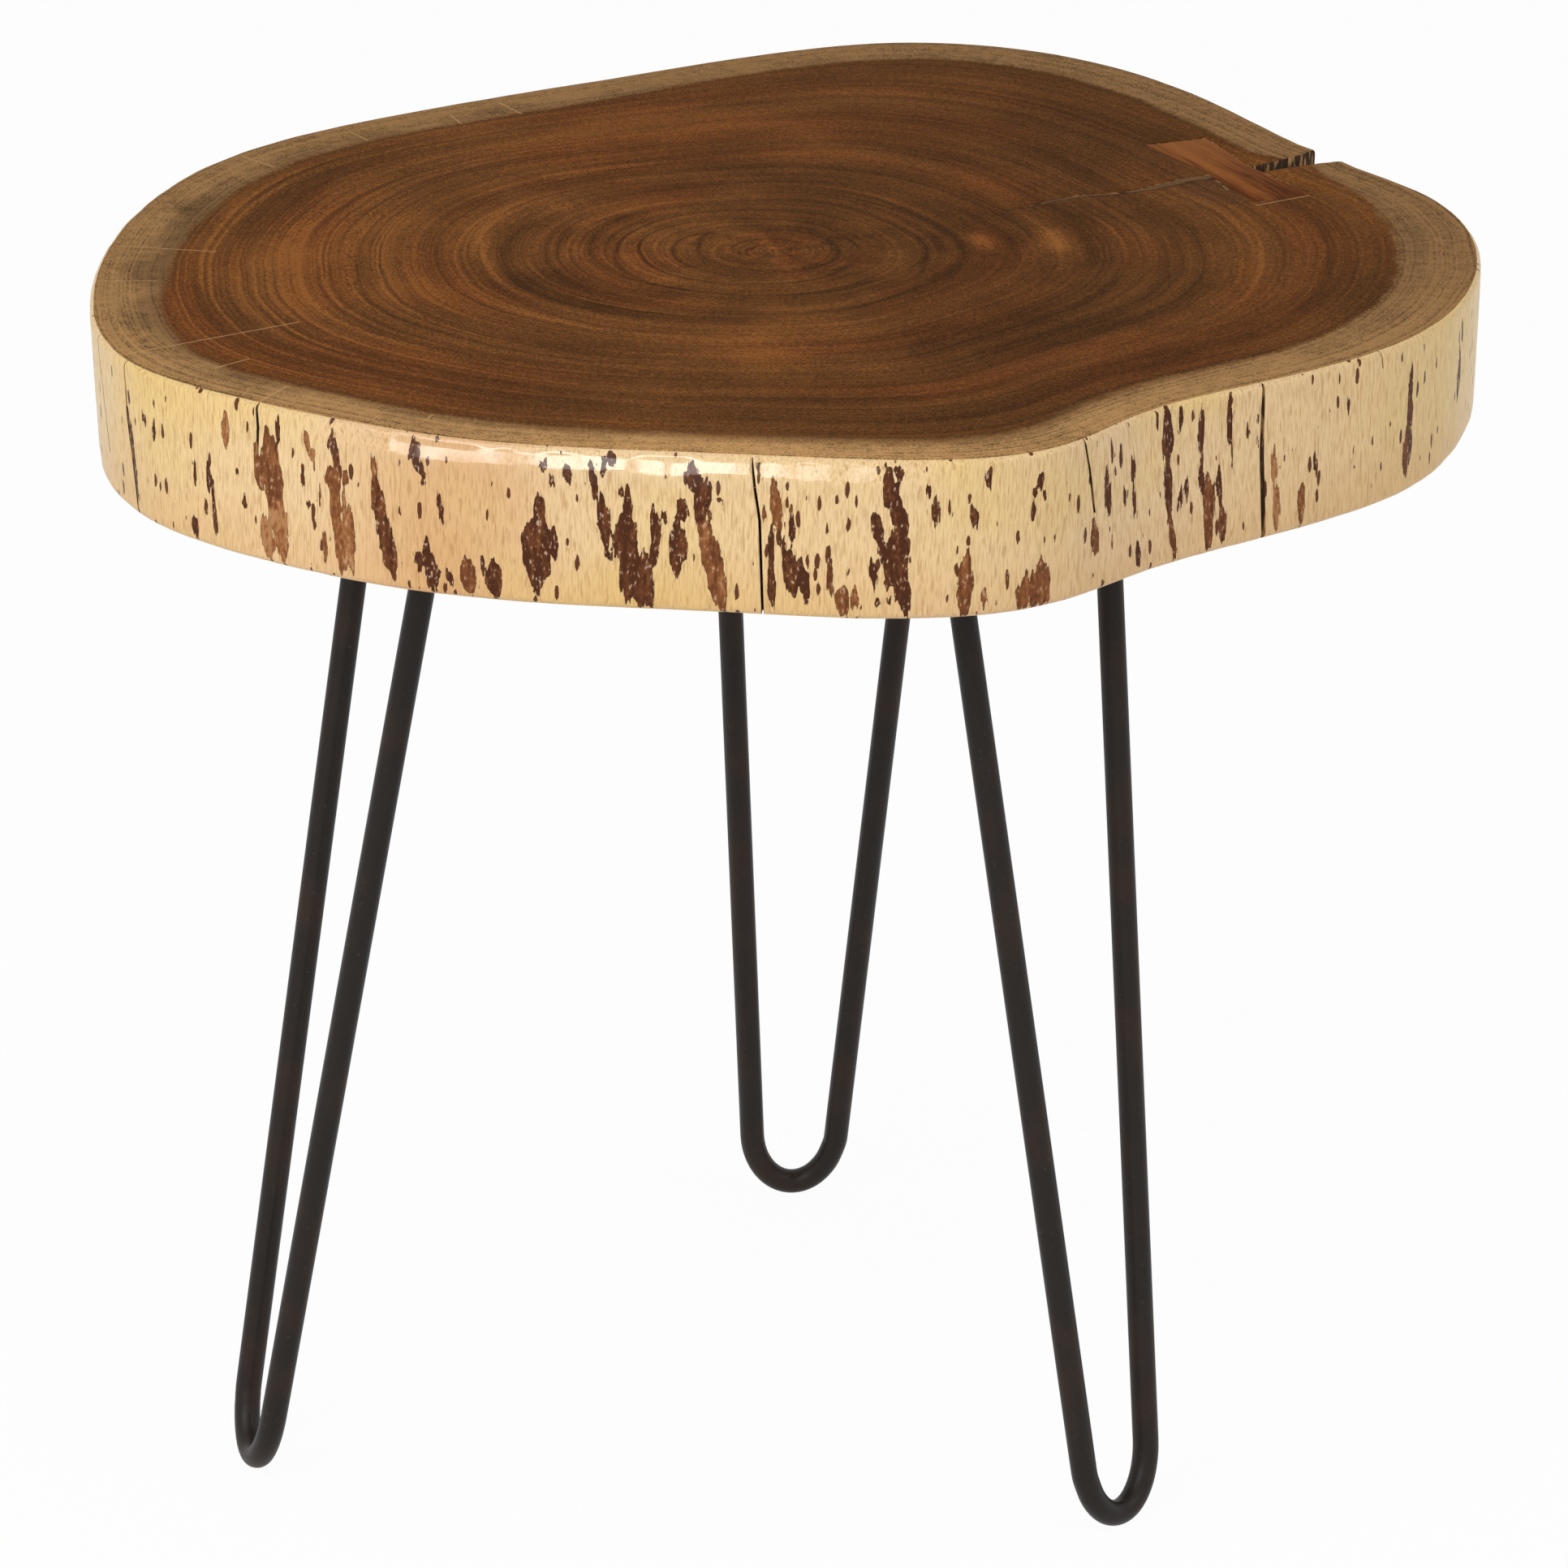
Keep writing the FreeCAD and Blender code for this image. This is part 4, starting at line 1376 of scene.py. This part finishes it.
class LOGTABLE_OT_slab(bpy.types.Operator):
    """Draw the log slice, cut its checks and finish its faces"""
    bl_idname = "log_table.slab"
    bl_label = "Log slab"

    def execute(self, context):
        sizes, look = context.scene.log_table_sizes, context.scene.log_table_look
        rim = Rim(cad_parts["log_slab"])
        materials = [
            top_finish(look, rim), bark_face_finish(look, rim), underside_finish(look, rim),
            check_wall_finish(look),
        ]
        slab = new_piece("log_slab_dressed", slab_mesh(rim, sizes), materials)
        carve(slab, [
            open_check_cutter(rim), hairline_cutter(rim), key_pocket_cutter(rim, sizes.key_gap),
            mesh_from(ragged_filler(rim.top + CUT_PAST), "filler_cutter"),
        ])
        mark_growth(slab.data, rim)
        soften(slab.data, SLAB_SHARP)
        seat(slab, "log_slab")
        return {"FINISHED"}


class LOGTABLE_OT_key(bpy.types.Operator):
    """Ease the butterfly key's edges and give it its lengthwise grain"""
    bl_idname = "log_table.key"
    bl_label = "Butterfly key"

    def execute(self, context):
        sizes, look = context.scene.log_table_sizes, context.scene.log_table_look
        low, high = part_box("butterfly_key")
        bm = node_copy("butterfly_key")
        bmesh.ops.bevel(bm, geom=bm.edges[:], offset=sizes.key_edge, affect="EDGES",
                        segments=KEY_EDGE_SEGMENTS, profile=0.5, material=-1)
        key = new_piece("butterfly_key_dressed", mesh_from(bm, "butterfly_key_dressed"),
                        [key_finish(look, (low + high) / 2)])
        soften(key.data, KEY_SHARP)
        seat(key, "butterfly_key")
        return {"FINISHED"}


class LOGTABLE_OT_filler(bpy.types.Operator):
    """Fill the closed part of the check"""
    bl_idname = "log_table.filler"
    bl_label = "Crack filler"

    def execute(self, context):
        sizes, look = context.scene.log_table_sizes, context.scene.log_table_look
        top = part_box("log_slab")[1].z
        mesh = mesh_from(ragged_filler(top - sizes.filler_sink), "crack_filler_dressed")
        places = vertex_places(mesh)
        line = np.polyfit(places[:, 0], places[:, 1], FILLER_LINE_DEGREE)
        keep_values(mesh, "front_edge", (np.polyval(line, places[:, 0]) > places[:, 1]).astype(float))
        filler = new_piece("crack_filler_dressed", mesh, [filler_finish(look)])
        seat(filler, "crack_filler")
        return {"FINISHED"}


class LOGTABLE_OT_legs(bpy.types.Operator):
    """Blacken the hairpin bars, their plates and their welds"""
    bl_idname = "log_table.legs"
    bl_label = "Hairpin legs"

    def execute(self, context):
        for kind, (name, roughness, pit_depth) in IRON.items():
            dress_nodes(kind, iron_finish(context.scene.log_table_look, name, roughness, pit_depth))
        return {"FINISHED"}


class LOGTABLE_OT_screws(bpy.types.Operator):
    """Plate the screws with zinc"""
    bl_idname = "log_table.screws"
    bl_label = "Screws"

    def execute(self, context):
        dress_nodes("screws", screw_finish(context.scene.log_table_look))
        return {"FINISHED"}


class LOGTABLE_OT_stage(bpy.types.Operator):
    """Lay the floor, hang the lights and set up the camera"""
    bl_idname = "log_table.stage"
    bl_label = "Stage"

    def execute(self, context):
        settings = context.scene.log_table_stage
        lay_floor(settings)
        light_surround(context.scene, settings.surround)
        target = Vector((0.0, 0.0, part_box("log_slab")[0].z))
        for name, place, width, height, power in LIGHTS:
            hang_light(name, place, target, width, height, getattr(settings, power))
        set_camera(context.scene)
        context.scene.view_settings.view_transform = "Standard"
        return {"FINISHED"}


def dress_nodes(kind, material):
    """Gives a finish to all the solids of one kind."""
    for name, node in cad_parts.items():
        if name.endswith(f"_{kind}"):
            node.data.materials.clear()
            node.data.materials.append(material)


def background_share(finish):
    """1 for rays that go to the eye or by way of a mirror or glass, and 0 for those that carry light."""
    kinds = ("Is Camera Ray", "Is Glossy Ray", "Is Transmission Ray")
    camera, glossy, transmission = (finish.node("ShaderNodeLightPath", output=kind) for kind in kinds)
    return camera.math("MAXIMUM", camera, glossy.math("MAXIMUM", glossy, transmission))


def lay_floor(settings):
    """A pale floor that shows almost white and keeps the table's soft shadow; it is clear from below."""
    bm = bmesh.new()
    bmesh.ops.create_grid(bm, x_segments=1, y_segments=1, size=FLOOR_HALF)
    finish = new_finish("floor")
    finish.surface(Base_Color=settings.floor_tone, Roughness=0.9, Specular_IOR_Level=0.0)
    glow = finish.node("ShaderNodeEmission", None, {"Color": (1.0, 1.0, 1.0), "Strength": 1.0})
    lit = Socket(finish, finish.shader.outputs[0])
    white = background_share(finish) * FLOOR_WHITE
    upper = finish.node("ShaderNodeMixShader", None, {0: white, 1: lit, 2: glow})
    clear = finish.node("ShaderNodeBsdfTransparent")
    from_below = finish.node("ShaderNodeNewGeometry", output="Backfacing")
    mixed = finish.node("ShaderNodeMixShader", None, {0: from_below, 1: upper, 2: clear})
    output = next(n for n in finish.tree.nodes if n.type == "OUTPUT_MATERIAL")
    finish.tree.links.new(mixed.output, output.inputs["Surface"])
    new_piece("floor", mesh_from(bm, "floor"), [finish.owner])


def light_surround(scene, strength):
    """White where it is seen, and dimmer where it lights the table."""
    scene.world = bpy.data.worlds.new("surround")
    surround = Finish(scene.world)
    level = background_share(surround) * (1 - strength) + strength
    surround.surface(Color=(1.0, 1.0, 1.0), Strength=level)


def hang_light(name, place, target, width, height, power):
    lamp = bpy.data.lights.new(name, "AREA")
    lamp.shape = "RECTANGLE"
    lamp.size, lamp.size_y = width, height
    lamp.energy = power
    light = bpy.data.objects.new(name, lamp)
    light.location = place
    light.rotation_euler = (target - Vector(place)).to_track_quat("-Z", "Y").to_euler()
    bpy.context.scene.collection.objects.link(light)


def set_camera(scene):
    eye = bpy.data.cameras.new("camera")
    eye.sensor_width = SENSOR_MM
    eye.lens = LENS_MM
    camera = bpy.data.objects.new("camera", eye)
    camera.location = CAMERA_PLACE
    camera.rotation_euler = camera_turn().to_euler()
    scene.collection.objects.link(camera)
    scene.camera = camera


class LOGTABLE_PT_panel(bpy.types.Panel):
    """Sizes, colours and the pieces of the table"""
    bl_label = "Log table"
    bl_idname = "LOGTABLE_PT_panel"
    bl_space_type = "VIEW_3D"
    bl_region_type = "UI"
    bl_category = "Log table"

    def draw(self, context):
        scene = context.scene
        for group in (scene.log_table_sizes, scene.log_table_look, scene.log_table_stage):
            box = self.layout.box()
            for name in group.__annotations__:
                box.prop(group, name)
        for operator in OPERATORS:
            self.layout.operator(operator.bl_idname)


GROUPS = {"log_table_sizes": LogTableSizes, "log_table_look": LogTableLook, "log_table_stage": LogTableStage}
OPERATORS = (LOGTABLE_OT_slab, LOGTABLE_OT_key, LOGTABLE_OT_filler, LOGTABLE_OT_legs, LOGTABLE_OT_screws,
             LOGTABLE_OT_stage)


def register():
    for group in (*GROUPS.values(), *OPERATORS, LOGTABLE_PT_panel):
        bpy.utils.register_class(group)
    for name, group in GROUPS.items():
        setattr(bpy.types.Scene, name, bpy.props.PointerProperty(type=group))


def unregister():
    for name in GROUPS:
        delattr(bpy.types.Scene, name)
    for group in (LOGTABLE_PT_panel, *OPERATORS, *GROUPS.values()):
        bpy.utils.unregister_class(group)


def main():
    register()
    bpy.ops.log_table.slab()
    bpy.ops.log_table.key()
    bpy.ops.log_table.filler()
    bpy.ops.log_table.legs()
    bpy.ops.log_table.screws()
    bpy.ops.log_table.stage()


if __name__ == "__main__":
    main()
